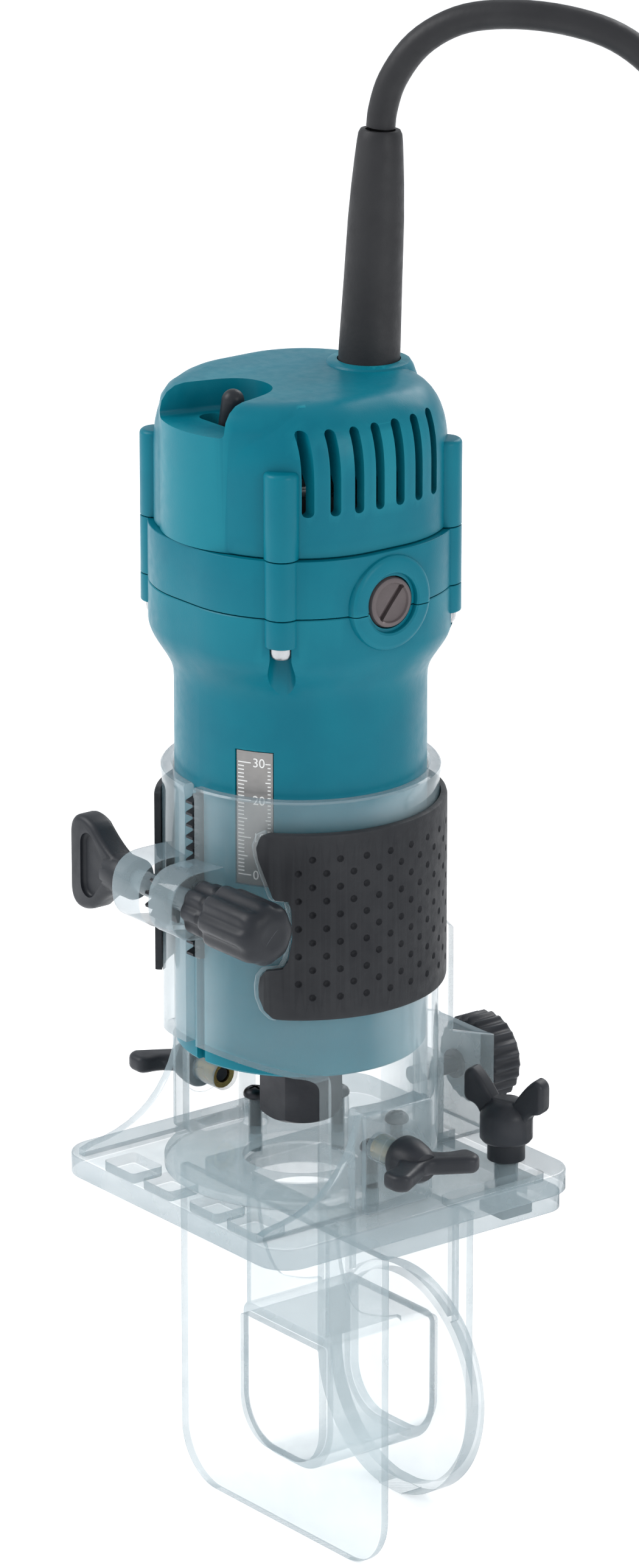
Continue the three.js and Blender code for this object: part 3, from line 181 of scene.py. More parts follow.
def block(x, y, z, edge=0.0):
    return slab("z", rounded(*x, *y, edge, 3), *z, edge)


def turned(axis, profile, u=0, v=0, sides=96, closed=False):
    """A round piece from (radius, place) points; a closed profile makes a ring."""
    if not closed:
        return solid([[turned_to(axis, u + max(r, 0.02) * math.cos(2 * math.pi * k / sides),
                                 v + max(r, 0.02) * math.sin(2 * math.pi * k / sides), w)
                       for k in range(sides)] for r, w in profile])
    rings = []
    for k in range(sides):
        c, s = math.cos(2 * math.pi * k / sides), math.sin(2 * math.pi * k / sides)
        rings.append([turned_to(axis, u + r * c, v + r * s, w) for r, w in profile])
    return solid(rings, closed=True)


def sweep(path, radius, sides=12):
    """A round bar along a path, with one radius or one for each point."""
    points = [Vector(p) for p in path]
    radii = radius if isinstance(radius, list) else [radius] * len(points)
    side = None
    rings = []
    for i, p in enumerate(points):
        run = (points[min(i + 1, len(points) - 1)] - points[max(i - 1, 0)]).normalized()
        if side is None:
            side = run.orthogonal().normalized()
        side = (side - run * side.dot(run)).normalized()
        up = run.cross(side)
        rings.append([tuple(p + radii[i] * (side * math.cos(t) + up * math.sin(t)))
                      for t in (2 * math.pi * k / sides for k in range(sides))])
    return solid(rings)


def applied(obj):
    """Turns an object's modifiers into its mesh."""
    bpy.context.view_layer.update()
    done = bpy.data.meshes.new_from_object(obj.evaluated_get(bpy.context.evaluated_depsgraph_get()))
    obj.modifiers.clear()
    obj.data = done
    return obj


def combined(operation, body, tools):
    for tool in tools:
        step = body.modifiers.new("step", "BOOLEAN")
        step.operation = operation
        step.solver = "MANIFOLD"
        step.object = tool
    applied(body)
    for tool in tools:
        bpy.data.objects.remove(tool)
    if len(body.data.polygons) < 4:
        raise ValueError("a boolean step left nothing")
    return body


def join(body, *tools):
    return combined("UNION", body, tools)


def cut(body, *tools):
    return combined("DIFFERENCE", body, tools)


def shared(body, *tools):
    return combined("INTERSECT", body, tools)


def moved(obj, matrix):
    obj.data.transform(matrix)
    return obj


def about(angle, axis, x, y, h):
    """A turn by degrees about a line through a point."""
    to = Matrix.Translation(place(x, y, h))
    return to @ Matrix.Rotation(math.radians(angle), 4, axis) @ to.inverted()


# ---- materials ----
def node(tree, kind, **values):
    made = tree.nodes.new(kind)
    for name, value in values.items():
        if name in made.inputs:
            made.inputs[name].default_value = value
        else:
            setattr(made, name, value)
    return made


def new_material(name):
    material = bpy.data.materials.new(name)
    material.use_nodes = True
    tree = material.node_tree
    return material, tree, tree.nodes["Principled BSDF"], node(tree, "ShaderNodeTexCoord").outputs["Object"]


def noise(tree, where, scale, detail=3.0, rough=0.5):
    made = node(tree, "ShaderNodeTexNoise", Scale=scale, Detail=detail, Roughness=rough)
    tree.links.new(where, made.inputs["Vector"])
    return made.outputs["Fac"]


def ranged(tree, value, low, high, start=0.3, end=0.7):
    made = node(tree, "ShaderNodeMapRange")
    for key, number in (("From Min", start), ("From Max", end), ("To Min", low), ("To Max", high)):
        made.inputs[key].default_value = number
    tree.links.new(value, made.inputs["Value"])
    return made.outputs["Result"]


def mixed(tree, share, first, second):
    made = node(tree, "ShaderNodeMix", data_type="RGBA")
    tree.links.new(share, made.inputs["Factor"])
    made.inputs["A"].default_value = (*first, 1)
    if isinstance(second, tuple):
        made.inputs["B"].default_value = (*second, 1)
    return made


def bumped(tree, shader, height, strength, distance):
    made = node(tree, "ShaderNodeBump", Strength=strength, Distance=distance)
    tree.links.new(height, made.inputs["Height"])
    tree.links.new(made.outputs["Normal"], shader.inputs["Normal"])


def plastic(name, colour, second, roughness=(0.35, 0.45), grain=2200, strength=0.12, painted_highlight=None, gloss=0.3):
    """Moulded plastic: a slightly uneven colour, a fine spark-eroded grain and paler edges, a painted highlight."""
    material, tree, shader, where = new_material(name)
    base = mixed(tree, ranged(tree, noise(tree, where, 60), 0, 1), colour, second)
    result = base.outputs["Result"]
    # Paler colour where the surface is sharply convex: a painted highlight along the edges.
    if painted_highlight:
        point = node(tree, "ShaderNodeNewGeometry").outputs["Pointiness"]
        edge = mixed(tree, ranged(tree, point, 0, 0.5, 0.52, 0.62), colour, painted_highlight)
        tree.links.new(result, edge.inputs["A"])
        result = edge.outputs["Result"]
    tree.links.new(result, shader.inputs["Base Color"])
    tree.links.new(ranged(tree, noise(tree, where, 350), *roughness), shader.inputs["Roughness"])
    bumped(tree, shader, noise(tree, where, grain, 2.0), strength, 0.0002)
    shader.inputs["Specular IOR Level"].default_value = gloss
    return material


def metal(name, colour, second, roughness=(0.25, 0.4), along=(1, 1, 12), grain=500, strength=0.08):
    """Metal with fine machining lines across one axis and a little staining."""
    material, tree, shader, where = new_material(name)
    stretch = node(tree, "ShaderNodeMapping")
    stretch.inputs["Scale"].default_value = along
    tree.links.new(where, stretch.inputs["Vector"])
    lines = noise(tree, stretch.outputs["Vector"], grain, 3.0)
    base = mixed(tree, ranged(tree, noise(tree, where, 120), 0, 1), colour, second)
    tree.links.new(base.outputs["Result"], shader.inputs["Base Color"])
    tree.links.new(ranged(tree, lines, *roughness), shader.inputs["Roughness"])
    bumped(tree, shader, lines, strength, 0.0001)
    shader.inputs["Metallic"].default_value = 1.0
    return material


def clear_plastic(name, tint, edge_tint, faint, dense):
    """Clear polycarbonate: nearly open where it is seen square on, darker and denser along its edges."""
    material, tree, shader, where = new_material(name)
    facing = node(tree, "ShaderNodeLayerWeight", Blend=0.35).outputs["Facing"]
    cloud = noise(tree, where, 90)
    base = mixed(tree, ranged(tree, facing, 0, 1, 0.2, 0.9), tint, edge_tint)
    tree.links.new(base.outputs["Result"], shader.inputs["Base Color"])
    spread = ranged(tree, facing, faint, dense, 0.15, 0.85)
    vary = node(tree, "ShaderNodeMath", operation="MULTIPLY")
    tree.links.new(spread, vary.inputs[0])
    tree.links.new(ranged(tree, cloud, 0.9, 1.1), vary.inputs[1])
    tree.links.new(vary.outputs[0], shader.inputs["Alpha"])
    tree.links.new(ranged(tree, noise(tree, where, 500), 0.05, 0.12), shader.inputs["Roughness"])
    bumped(tree, shader, noise(tree, where, 45, 2.0), 0.15, 0.0006)
    shader.inputs["IOR"].default_value = 1.58
    return material


# The paler third colour of the moulded finishes is a painted highlight for their edges.
FINISH = {
    "clear": clear_plastic("clear_plastic", (0.62, 0.72, 0.75), (0.13, 0.20, 0.23), 0.09, 0.72),
    "clear_edge": clear_plastic("clear_edge", (0.30, 0.38, 0.41), (0.10, 0.15, 0.18), 0.46, 0.80),
    "teal": plastic("teal_plastic", (0.0, 0.130, 0.185), (0.0, 0.150, 0.205), (0.30, 0.40),
                    painted_highlight=(0.02, 0.28, 0.34), gloss=0.16),
    "black_plastic": plastic("black_plastic", (0.014, 0.016, 0.020), (0.022, 0.024, 0.029), (0.34, 0.46),
                             painted_highlight=(0.07, 0.075, 0.085), gloss=0.25),
    "rubber": plastic("rubber", (0.016, 0.017, 0.020), (0.024, 0.025, 0.028), (0.5, 0.65), 1500, 0.3,
                      painted_highlight=(0.07, 0.075, 0.08), gloss=0.2),
    "cord": plastic("cord_rubber", (0.016, 0.016, 0.018), (0.024, 0.024, 0.026), (0.45, 0.6), 900, 0.25),
    "brass": metal("brass", (0.62, 0.46, 0.17), (0.50, 0.36, 0.13)),
    "steel": metal("steel", (0.50, 0.51, 0.52), (0.40, 0.41, 0.42)),
    "black_steel": metal("black_steel", (0.035, 0.036, 0.040), (0.055, 0.055, 0.060), (0.3, 0.45)),
    "lamination": metal("lamination", (0.30, 0.30, 0.31), (0.22, 0.22, 0.23), (0.4, 0.55), (1, 1, 60)),
    "copper": metal("copper", (0.62, 0.27, 0.12), (0.50, 0.20, 0.09), (0.3, 0.45), (1, 1, 25)),
    "carbon": plastic("carbon", (0.02, 0.02, 0.021), (0.035, 0.035, 0.036), (0.6, 0.8), 1200, 0.4),
    "brush_cap": plastic("brush_cap", (0.085, 0.068, 0.070), (0.12, 0.10, 0.10), (0.4, 0.55), 1800, 0.3,
                         painted_highlight=(0.25, 0.21, 0.21)),
    "scale": metal("scale_plate", (0.30, 0.29, 0.28), (0.24, 0.235, 0.23), (0.4, 0.5), (1, 1, 8)),
    "fan": plastic("fan", (0.05, 0.05, 0.055), (0.08, 0.08, 0.085), (0.5, 0.6)),
    "tick": plastic("tick_paint", (0.80, 0.80, 0.78), (0.70, 0.70, 0.69), (0.5, 0.6)),
}


# ---- cord ----
CORD_D = 7.5
COIL_X, COIL_Y = 9.8, 190
PLUG_X = -26.9
PLUG_BACK = 211
PLUG_H = -64.2
# The free run, from the guard to the coil.
ROUTE = [
    (0, 25.6, 279.7), (0.3, 26, 284), (2.3, 27.5, 292), (7.4, 31.8, 301.5), (15, 38.3, 307.8),
    (24, 46, 310), (36, 56.1, 309.2), (46, 64.6, 305.4), (53.6, 71.1, 298), (58.4, 75.1, 288),
    (60.3, 76.9, 275), (61, 78, 235), (60.6, 78.6, 190), (60, 78.2, 140), (59.6, 77.6, 90),
    (59.7, 77, 40), (60, 76.8, -5), (60, 77, -42), (60, 78.2, -60), (60, 84, -76),
    (60, 95, -87), (60, 109, -90.9), (60, 122, -91), (60, 134, -91), (60, 147, -91),
    (60, 160.5, -91),
]
# The coil: turns gone, radius and height. It winds in, climbs, winds out, climbs and winds in again.
COIL = [
    (0.0, 50.2, -91.0), (1.0, 42.7, -91.0), (1.9, 35.7, -91.0), (2.0, 34.6, -90.4), (2.15, 34.1, -88.2),
    (2.3, 34.3, -85.6), (2.5, 35.0, -83.5), (3.5, 42.5, -83.4), (4.5, 50.1, -83.4), (4.62, 51.0, -82.6),
    (4.8, 51.3, -80.0), (4.95, 50.9, -77.6), (5.1, 50.3, -75.8), (6.1, 42.8, -75.8), (6.95, 36.4, -75.8),
    (7.1, 35.9, -73.0), (7.2, 37.7, -69.2), (7.3, 40.7, -65.4), (7.38, 42.9, -64.3),
]


def smoothed(points, steps):
    """A centripetal Catmull-Rom line through the points."""
    points = [Vector(p) for p in points]
    points = [2 * points[0] - points[1]] + points + [2 * points[-1] - points[-2]]
    line = []
    for p0, p1, p2, p3 in zip(points, points[1:], points[2:], points[3:]):
        t1 = (p1 - p0).length ** 0.5
        t2 = t1 + (p2 - p1).length ** 0.5
        t3 = t2 + (p3 - p2).length ** 0.5
        for k in range(steps):
            t = t1 + (t2 - t1) * k / steps
            a1 = p0 * ((t1 - t) / t1) + p1 * (t / t1)
            a2 = p1 * ((t2 - t) / (t2 - t1)) + p2 * ((t - t1) / (t2 - t1))
            a3 = p2 * ((t3 - t) / (t3 - t2)) + p3 * ((t - t2) / (t3 - t2))
            b1 = a1 * ((t2 - t) / t2) + a2 * (t / t2)
            b2 = a2 * ((t3 - t) / (t3 - t1)) + a3 * ((t - t1) / (t3 - t1))
            line.append(b1 * ((t2 - t) / (t2 - t1)) + b2 * ((t - t1) / (t2 - t1)))
    return line + [points[-2]]


def coil_points():
    """The coil's points, 32 to a turn."""
    start = math.atan2(ROUTE[-1][1] + 15 - COIL_Y, ROUTE[-1][0] - COIL_X) / (2 * math.pi)
    points = []
    turns = start
    while turns < COIL[-1][0]:
        near = max(turns, 0)
        i = max(k for k in range(len(COIL) - 1) if COIL[k][0] <= near)
        (a, r0, h0), (b, r1, h1) = COIL[i], COIL[i + 1]
        share = (near - a) / (b - a)
        r, h = r0 + (r1 - r0) * share, h0 + (h1 - h0) * share
        angle = 2 * math.pi * turns
        points.append(Vector((COIL_X + r * math.cos(angle), COIL_Y + r * math.sin(angle), h)))
        turns += 1 / 32
    return points


def relaxed(points, rounds, fixed=2):
    """Evens out the kinks in a line of points, and leaves its ends."""
    for _ in range(rounds):
        points = [p if i < fixed or i >= len(points) - fixed
                  else (points[i - 1] + 2 * p + points[i + 1]) / 4 for i, p in enumerate(points)]
    return points


def cord_path():
    free = smoothed(ROUTE, 5)
    end = [Vector((PLUG_X, PLUG_BACK + d, PLUG_H)) for d in (9, 4.5, 0)]
    return free[:110] + relaxed(free[110:] + coil_points() + end, 3)


def length_of(path):
    return sum((b - a).length for a, b in zip(path, path[1:]))


# ---- pieces ----
def edged(obj, axis, rim=False):
    """Gives a clear sheet's narrow side faces, or a tube's rims, the denser look that its edges have."""
    obj.data.materials.append(FINISH["clear_edge"])
    for face in obj.data.polygons:
        square_on = abs(face.normal["xyz".index(axis)]) > 0.6
        if square_on == rim:
            face.material_index = 1


def edged_sleeve(obj):
    """The denser look on the sleeve's rims and on the outer edges of its webs, gussets and lugs."""
    obj.data.materials.append(FINISH["clear_edge"])
    for face in obj.data.polygons:
        out = math.hypot(face.center.x, face.center.y - AXIS_Y) / MM
        rim = abs(face.normal.z) > 0.6 and out > SLEEVE_IN - 1
        if rim or (out > SLEEVE_OUT + 1 and abs(face.normal.x) < 0.6):
            face.material_index = 1


def finish(obj, name, body, slot, stands_for=(), finish_name=None, angle=32, edge_of=None, rim=False):
    """Names a piece, gives it its finish and its body, and hides the CAD nodes that it stands for."""
    obj.name = name
    obj.data.name = name
    obj.data.materials.clear()
    obj.data.materials.append(FINISH[finish_name or slot])
    if edge_of:
        edged(obj, edge_of, rim)
    obj.data.polygons.foreach_set("use_smooth", [True] * len(obj.data.polygons))
    obj.data.set_sharp_from_angle(angle=math.radians(angle))
    if body:
        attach(obj, body)
    if stands_for:
        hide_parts(*stands_for)
    return obj


GUARD_Y = 22
COVER_TOP = 177.5
GUARD_LEAN = math.radians(3.4)


def add_guard():
    """The cord's guard: a smooth taper in two slopes, with a rounded tip."""
    profile = [(7.9, -12), (7.9, 0.4), (7.9, 4), (7.5, 20), (7.15, 37), (6.7, 46), (6.2, 53)]
    profile += [(5.85, 57), (5.6, 59), (5.1, 60), (3.9, 60), (3.9, 50)]
    guard = turned("z", profile, sides=48)
    lean = Matrix.Rotation(-GUARD_LEAN, 4, "X")
    up = Matrix.Translation(place(0, GUARD_Y, MOTOR + COVER_TOP)) @ lean @ Matrix.Translation(place(0, 0, 0)).inverted()
    moved(guard, up)
    return finish(guard, "guard", "motor", "cord", ["cord_guard"], "cord")


def add_plug():
    """A two-pin plug with a waisted grip and ribs, lying on the coil."""
    rings = []
    face = PLUG_BACK - 42
    rows = [(0, 0.8, 10.6, 6.6), (0.8, 0, 11.6, 7.6), (7, 0, 12, 8), (12, 0, 11.4, 7.6), (18, 0, 9.8, 7.2),
            (24, 0, 9.0, 7.0), (29, 0, 8.0, 6.8), (31, 0, 6.6, 6.2), (33, 0, 6.2, 6.0)]
    for k in range(4):
        low = 33 + 2.2 * k
        r = 6.0 - 0.25 * k
        rows += [(low + 0.2, 0, r, r), (low + 1.2, 0, r, r), (low + 1.4, 0, r - 0.8, r - 0.8),
                 (low + 2.0, 0, r - 0.8, r - 0.8)]
    rows.append((42, 0, 4.6, 4.6))
    for along, _, half, tall in rows:
        ring = []
        for k in range(48):
            t = 2 * math.pi * k / 48
            c, s = math.cos(t), math.sin(t)
            power = 0.75 if along < 31 else 1.0
            u = half * math.copysign(abs(c) ** power, c)
            v = tall * math.copysign(abs(s) ** power, s)
            ring.append((PLUG_X + u, face + along, PLUG_H + v))
        rings.append(ring)
    body = cut(solid(rings), *[bar("y", 2.3, face - 1, face + 1.2, PLUG_X + s * 5, PLUG_H, sides=24) for s in (1, -1)])
    pins = []
    for s, name in ((-1, "pin_1"), (1, "pin_2")):
        pin = turned("y", [(1.2, face - 16), (1.8, face - 15.4), (2, face - 14.4), (2, face - 0.3)],
                     PLUG_X + s * 5, PLUG_H, 24)
        pins.append(finish(pin, "plug_" + name + "_piece", "base", "steel", ["plug_" + name]))
    return [finish(body, "plug_piece", "base", "cord", ["plug_body"], "cord"), *pins]


def add_cord(carried):
    path = cord_path()
    cord = finish(sweep(path, CORD_D / 2, 16), "cord_piece", None, "cord", ["cord_run", "cord_coil"], "cord")
    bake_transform(cord)


guard = add_guard()
add_cord([guard, *add_plug()])


# ---- base ----
SLEEVE_IN, SLEEVE_OUT = 32.9, 35.8
PLATE_HALF, PLATE_FRONT, PLATE_BACK = 48, -44, 55.1
LOCK_X, LOCK_Y, TAB_Y = 31, 44, 42.5
CLAMP_Y, CLAMP_H = -41.5, 89
PILLARS = [(25.3 * math.cos(math.radians(a)), 25.3 * math.sin(math.radians(a))) for a in (9, 60, 120, 171)]


def bent(points, steps=10):
    """A closed outline; a point given with a third value is the pull of a curve to the next point."""
    outline = []
    for i, p in enumerate(points):
        if len(p) == 3:
            continue
        q = points[(i + 1) % len(points)]
        outline.append(p)
        if len(q) == 3:
            r = points[(i + 2) % len(points)]
            for k in range(1, steps):
                t = k / steps
                outline.append(tuple((1 - t) ** 2 * p[n] + 2 * t * (1 - t) * q[n] + t * t * r[n] for n in (0, 1)))
    return outline


def add_sleeve():
    """The clear clamping sleeve with its foot, lugs, side blocks, webs and gussets."""
    wall = turned("z", [
        (15.3, 6.3), (15.3, 8.7), (15.6, 9.0), (31.2, 9.0), (32.4, 9.5), (SLEEVE_IN, 10.7), (SLEEVE_IN, 116.2),
        (33.5, 117), (35.6, 117), (36.1, 116.5), (36.1, 114.6), (SLEEVE_OUT, 114.0), (SLEEVE_OUT, 6.7), (35.4, 6.3)],
        sides=128, closed=True)
    lug = bent([(-26, 98), (CLAMP_Y, 98), (CLAMP_Y - 9, 98, 0), (CLAMP_Y - 9, 89), (CLAMP_Y - 9, 80, 0),
                (CLAMP_Y, 80), (-33, 78.5), (-26, 77)])
    parts = [slab("x", lug, -14, 12, 0.7)]
    web = bent([(11, 6.3), (11, 34), (-11, 34), (-16, 11, 0), (PLATE_FRONT + 4, 9), (PLATE_FRONT + 1, 8), (PLATE_FRONT + 1, 6.3)])
    wall_back = PLATE_BACK - 0.3
    gusset = [(30.9, 6.3), (wall_back, 6.3), (wall_back, 33), (41, 37), (41, 66), (38, 69), (30.9, 69)]
    for s in (1, -1):
        parts.append(block(sorted((s * 27, s * 42)), (-11, 11), (6.3, 34), 1.2))
        parts.append(slab("x", web, *sorted((s * 37, s * 40)), 0.4))
        parts.append(slab("x", gusset, *sorted((s * 10, s * 12.5)), 0.4))
        parts.append(bar("x", 7.2, s * 41, s * 42.3, 0, 20.5, (0.0, 0.5) if s > 0 else (0.5, 0.0)))
    parts.append(block((-11, 11), (wall_back - 2.7, wall_back), (6.3, 33), 0.4))
    sleeve = join(wall, *parts)
    arch = bent([(-31, 9), (31, 9), (31, 39), (31, 42.5, 0), (27.5, 42.6), (0, 51.5, 0), (-27.5, 42.6), (-31, 42.5, 0),
                 (-31, 39)], 12)
    bores = [bar("z", SLEEVE_IN, 10.7, 110, sides=128), slab("y", arch, -75, -14)]
    sleeve = cut(sleeve, *bores)
    sleeve = join(sleeve, *[turned("z", [(3.6, 8.5), (3.2, 10), (3.0, 15.6), (2.6, 16)], x, y, 24) for x, y in PILLARS])
    tools = [block((-2, 2), (-60, -20), (9, 130)),
             bar("x", 3.1, -20, 20, CLAMP_Y, CLAMP_H, sides=32), bar("y", 2.7, wall_back - 4, wall_back + 1, 0, 22, sides=32)]
    tools += [bar("z", 1.9, 0, 20, x, y, sides=24) for x, y in PILLARS]
    tools += [bar("x", 4, s * 29, s * 45, 0, 20.5, sides=32) for s in (1, -1)]
    sleeve = finish(cut(sleeve, *tools), "sleeve", "base", "clear", ["base_sleeve"], angle=28)
    edged_sleeve(sleeve)


def add_plate():
    """The clear base plate, with pockets, ribs and a chamfered bit hole."""
    plate = slab("z", rounded(-PLATE_HALF, PLATE_HALF, PLATE_FRONT, PLATE_BACK, 9, 10), 0, 6, (0.5, 0.7))
    tools = [turned("z", [(16, -0.5), (15.5, 0), (15, 0.5), (15, 5.5), (15.6, 6.1)], sides=64),
             bar("z", 3.2, -1, 8, LOCK_X, LOCK_Y, sides=32), block((-5.4, 5.4), (TAB_Y - 4.9, TAB_Y + 4.9), (-1, 8)),
             *[bar("z", 1.9, -1, 8, x, y, sides=24) for x, y in PILLARS]]
    for s in (1, -1):
        for near, far in ((4, 16), (20, 33)):
            tools.append(slab("z", rounded(*sorted((s * near, s * far)), PLATE_FRONT + 4, PLATE_FRONT + 14, 1.2), 3, 8, (0.6, 0)))
        tools.append(slab("z", rounded(*sorted((s * 40.5, s * 45)), 14, 46, 1.5), 3.4, 8, (0.6, 0)))
    finish(cut(plate, *tools), "plate", "base", "clear", ["base_plate"], edge_of="z")


PAD_IN, PAD_OUT = 36.1, 37.8


def on_drum(degrees, r, h):
    angle = math.radians(degrees)
    return (r * math.cos(angle), r * math.sin(angle), h)


# The pad's front edge on the depth knob's side, as degrees round the sleeve and heights, top to bottom.
PAD_EDGE = [(-50, 109), (-53.4, 108), (-55, 105), (-54.2, 102), (-48.6, 92.2), (-47.6, 91.4), (-42.4, 91.2),
            (-41.2, 89), (-40.8, 81), (-42.6, 75), (-44.6, 73), (-51.4, 72.2), (-53.6, 70.4), (-54.2, 68), (-54, 65),
            (-52, 61.6), (-48.6, 59.5), (-45, 59)]
PAD_PLAIN = [(-50, 109), (-53.4, 108), (-54.6, 105), (-54.8, 84), (-54.6, 63), (-53.4, 60), (-50, 59)]


def add_pad():
    """The rubber grip: a band round the sleeve, shaped to the depth knob and dotted with dimples."""
    start, sweep_angle, steps = -56, 292, 146
    rings = []
    for k in range(steps + 1):
        angle = start + sweep_angle * k / steps
        section = [(PAD_IN, 59), (PAD_OUT - 0.7, 59), (PAD_OUT - 0.2, 59.3), (PAD_OUT, 60), (PAD_OUT, 108),
                   (PAD_OUT - 0.2, 108.7), (PAD_OUT - 0.7, 109), (PAD_IN, 109)]
        rings.append([on_drum(angle, r, h) for r, h in section])
    pad = solid(rings)
    tools = []
    for edge, mirror in ((PAD_EDGE, False), (PAD_PLAIN, True)):
        far = -66
        outline = [(far, 112), (edge[0][0], 112), *edge, (edge[-1][0], 56), (far, 56)]
        if mirror:
            outline = [(180 - a, h) for a, h in outline]
        tools.append(solid([[on_drum(a, r, h) for a, h in outline] for r in (35, 39)]))
    for s in (1, -1):
        tools.append(block(sorted((s * 9.7, s * 12.8)), (30, 42), (58, 69.3)))
    pad = cut(pad, *tools)
    rows, pitch = [], 7.2
    step = math.degrees(pitch / 2 / PAD_OUT)
    column = 0
    angle = -38.5
    while angle < 219:
        first = 65.4 if column % 2 else 69.1
        for k in range(6):
            h = first + 7.4 * k
            if 62 < h < 106 and not (abs(angle - 90) < 24 and h < 73):
                rows.append((angle, h))
        angle += step
        column += 1
    dimples = [moved(turned("x", [(0.1, PAD_OUT - 0.9), (0.65, PAD_OUT - 0.6), (1.0, PAD_OUT + 0.02),
                                  (1.05, PAD_OUT + 0.6)], 0, h, 10), about(a, "Z", 0, 0, 0)) for a, h in rows]
    everything = bpy.data.meshes.new("dimples")
    bm = bmesh.new()
    for dimple in dimples:
        bm.from_mesh(dimple.data)
        bpy.data.objects.remove(dimple)
    bm.to_mesh(everything)
    bm.free()
    tool = bpy.data.objects.new("dimples", everything)
    bpy.context.scene.collection.objects.link(tool)
    finish(cut(pad, tool), "pad", "base", "rubber", ["grip_pad"], angle=35)
    lip = []
    for (a, h), (b, g) in zip(PAD_EDGE, PAD_EDGE[1:]):
        for k in range(4):
            lip.append(on_drum(a + (b - a) * k / 4 - 1.5, 36.35, h + (g - h) * k / 4))
    finish(sweep(lip, 0.65, 10), "pad_lip", "base", "clear")


def add_plate_screws():
    for i, (x, y) in enumerate(PILLARS, 1):
        name = f"base_plate_screw_{i}"
        if name not in frame["nodes"]:
            continue
        screw = turned("z", [(0, 1), (1.6, 1), (1.6, 16.3), (3.0, 16.3), (3.2, 16.6), (3.2, 17.3), (2.8, 18.1),
                             (2.0, 18.7), (1.0, 18.9), (0.1, 18.9)], x, y, 32)
        slots = [block((x - 0.4, x + 0.4), (y - 1.9, y + 1.9), (17.7, 20)), block((x - 1.9, x + 1.9), (y - 0.4, y + 0.4), (17.7, 20))]
        finish(cut(screw, *slots), name + "_piece", "base", "black_steel", [name])


add_sleeve()
add_plate()
add_pad()
add_plate_screws()


# ---- motor housings ----
BODY_HALF, BODY_CORNER, BODY_OFFSET, COVER_INSET = 37, 32, 5, 1.6
LOW_SPLIT, HIGH_SPLIT = 124.3, 139.6
BOSSES = [(26, 26), (-26, 26), (-26, -26), (26, -26)]


def body_ring(r, offset, h, steps=20):
    """The rounded square of the housing at a height: four arcs whose middles lie off the axis by an offset."""
    ring = []
    for corner, (a, b) in enumerate(((1, 1), (-1, 1), (-1, -1), (1, -1))):
        for k in range(steps + 1):
            angle = math.pi / 2 * (corner + k / steps)
            ring.append((a * max(offset, 0.02) + r * math.cos(angle), b * max(offset, 0.02) + r * math.sin(angle), h))
    return ring


def housing_block(low, high, drawn=0.0, edge=(0.25, 0.25)):
    return solid([body_ring(BODY_CORNER - drawn - depth, BODY_OFFSET, MOTOR + w)
                  for w, depth in rounded_rows(low, high, *edge)])


def posts(r, low, high, edge=(0.0, 0.0)):
    return [bar("z", r, MOTOR + low, MOTOR + high, x, y, edge, 40) for x, y in BOSSES]


def brush_bosses():
    """The round bosses of the two brush caps, with a rounded rim."""
    made = []
    for s in (1, -1):
        profile = [(12.6, -10), (12.6, -0.6), (12.2, 0.6), (11.6, 1.1), (10.9, 1.3), (8.4, 1.3), (7.9, 1.0),
                   (7.7, 0.4), (7.7, -0.2), (0.1, -0.2)]
        made.append(turned("x", [(r, s * (BODY_HALF + out)) for r, out in profile], 0, MOTOR + 126.3, 64))
    return made


def brush_bores():
    return [bar("x", 6.9, s * (BODY_HALF - 6.8), s * 45, 0, MOTOR + 126.3, sides=48) for s in (1, -1)]


def add_barrel():
    """The barrel, its cone and the lower part of the motor body."""
    rows = [(0, 31.9, 0), (0.6, 32.5, 0)] + [(8 * k, 32.5, 0) for k in range(1, 13)]
    for m, share in ((98.3, 0), (100, 0.016), (101.6, 0.06), (103, 0.133), (104.4, 0.24), (105.8, 0.373), (107.2, 0.52),
                     (108.6, 0.667), (110, 0.8), (111.2, 0.893), (112.4, 0.96), (113.6, 1), (124.05, 1), (124.3, 0.967)):
        reach = 32.5 + (BODY_HALF - 32.5) * share
        rows.append((m, reach - BODY_OFFSET * share, BODY_OFFSET * share))
    body = solid([body_ring(r, offset, MOTOR + m) for m, r, offset in rows])
    body = join(body, *posts(4.5, 117, LOW_SPLIT, (0.5, 0.2)), *brush_bosses())
    hollow = turned("z", [(0.1, MOTOR + 3), (28.5, MOTOR + 3), (28.5, MOTOR + 104.3), (31.5, MOTOR + 113.3),
                          (31.5, MOTOR + 126), (0.1, MOTOR + 126)])
    tools = [hollow, *brush_bores(), block((-60, 60), (-60, 60), (MOTOR + LOW_SPLIT, MOTOR + 150)),
             turned("z", [(9.8, MOTOR - 1), (9.3, MOTOR + 0.1), (9, MOTOR + 0.5), (9, MOTOR + 4)]),
             block((-1.7, 1.7), (-40, -30.5), (MOTOR - 1, MOTOR + 74)),
             *posts(3.5, 98, 117), *posts(1.9, 116, 125)]
    strip = solid([[on_drum(a, r, MOTOR + h) for r in (31.5, 34) for h in ((51.2, 87.3) if r == 31.5 else (87.3, 51.2))]
                   for a in (-59 + 9.35 * (k / 6 - 1) for k in range(13))])
    body = cut(body, *tools)
    body = cut(body, strip)
    ring = turned("z", [(9.2, MOTOR + 0.2), (10.8, MOTOR + 0.2), (10.8, MOTOR + 3.4), (9.2, MOTOR + 3.4)], closed=True)
    body = join(body, ring)
    finish(body, "barrel", "motor", "teal", ["barrel_housing"], angle=30)


def add_middle():
    body = housing_block(LOW_SPLIT + 0.3, HIGH_SPLIT)
    body = join(body, *posts(4.5, LOW_SPLIT + 0.3, HIGH_SPLIT, (0.2, 0.2)), *brush_bosses())
    inside = solid([body_ring(BODY_CORNER - 3, BODY_OFFSET, MOTOR + h) for h in (120, 145)])
    body = cut(body, inside, *brush_bores(), *posts(1.9, 120, 145),
               block((-60, 60), (-60, 60), (MOTOR + 90, MOTOR + LOW_SPLIT + 0.3)))
    finish(body, "middle", "motor", "teal", ["middle_housing"], angle=30)


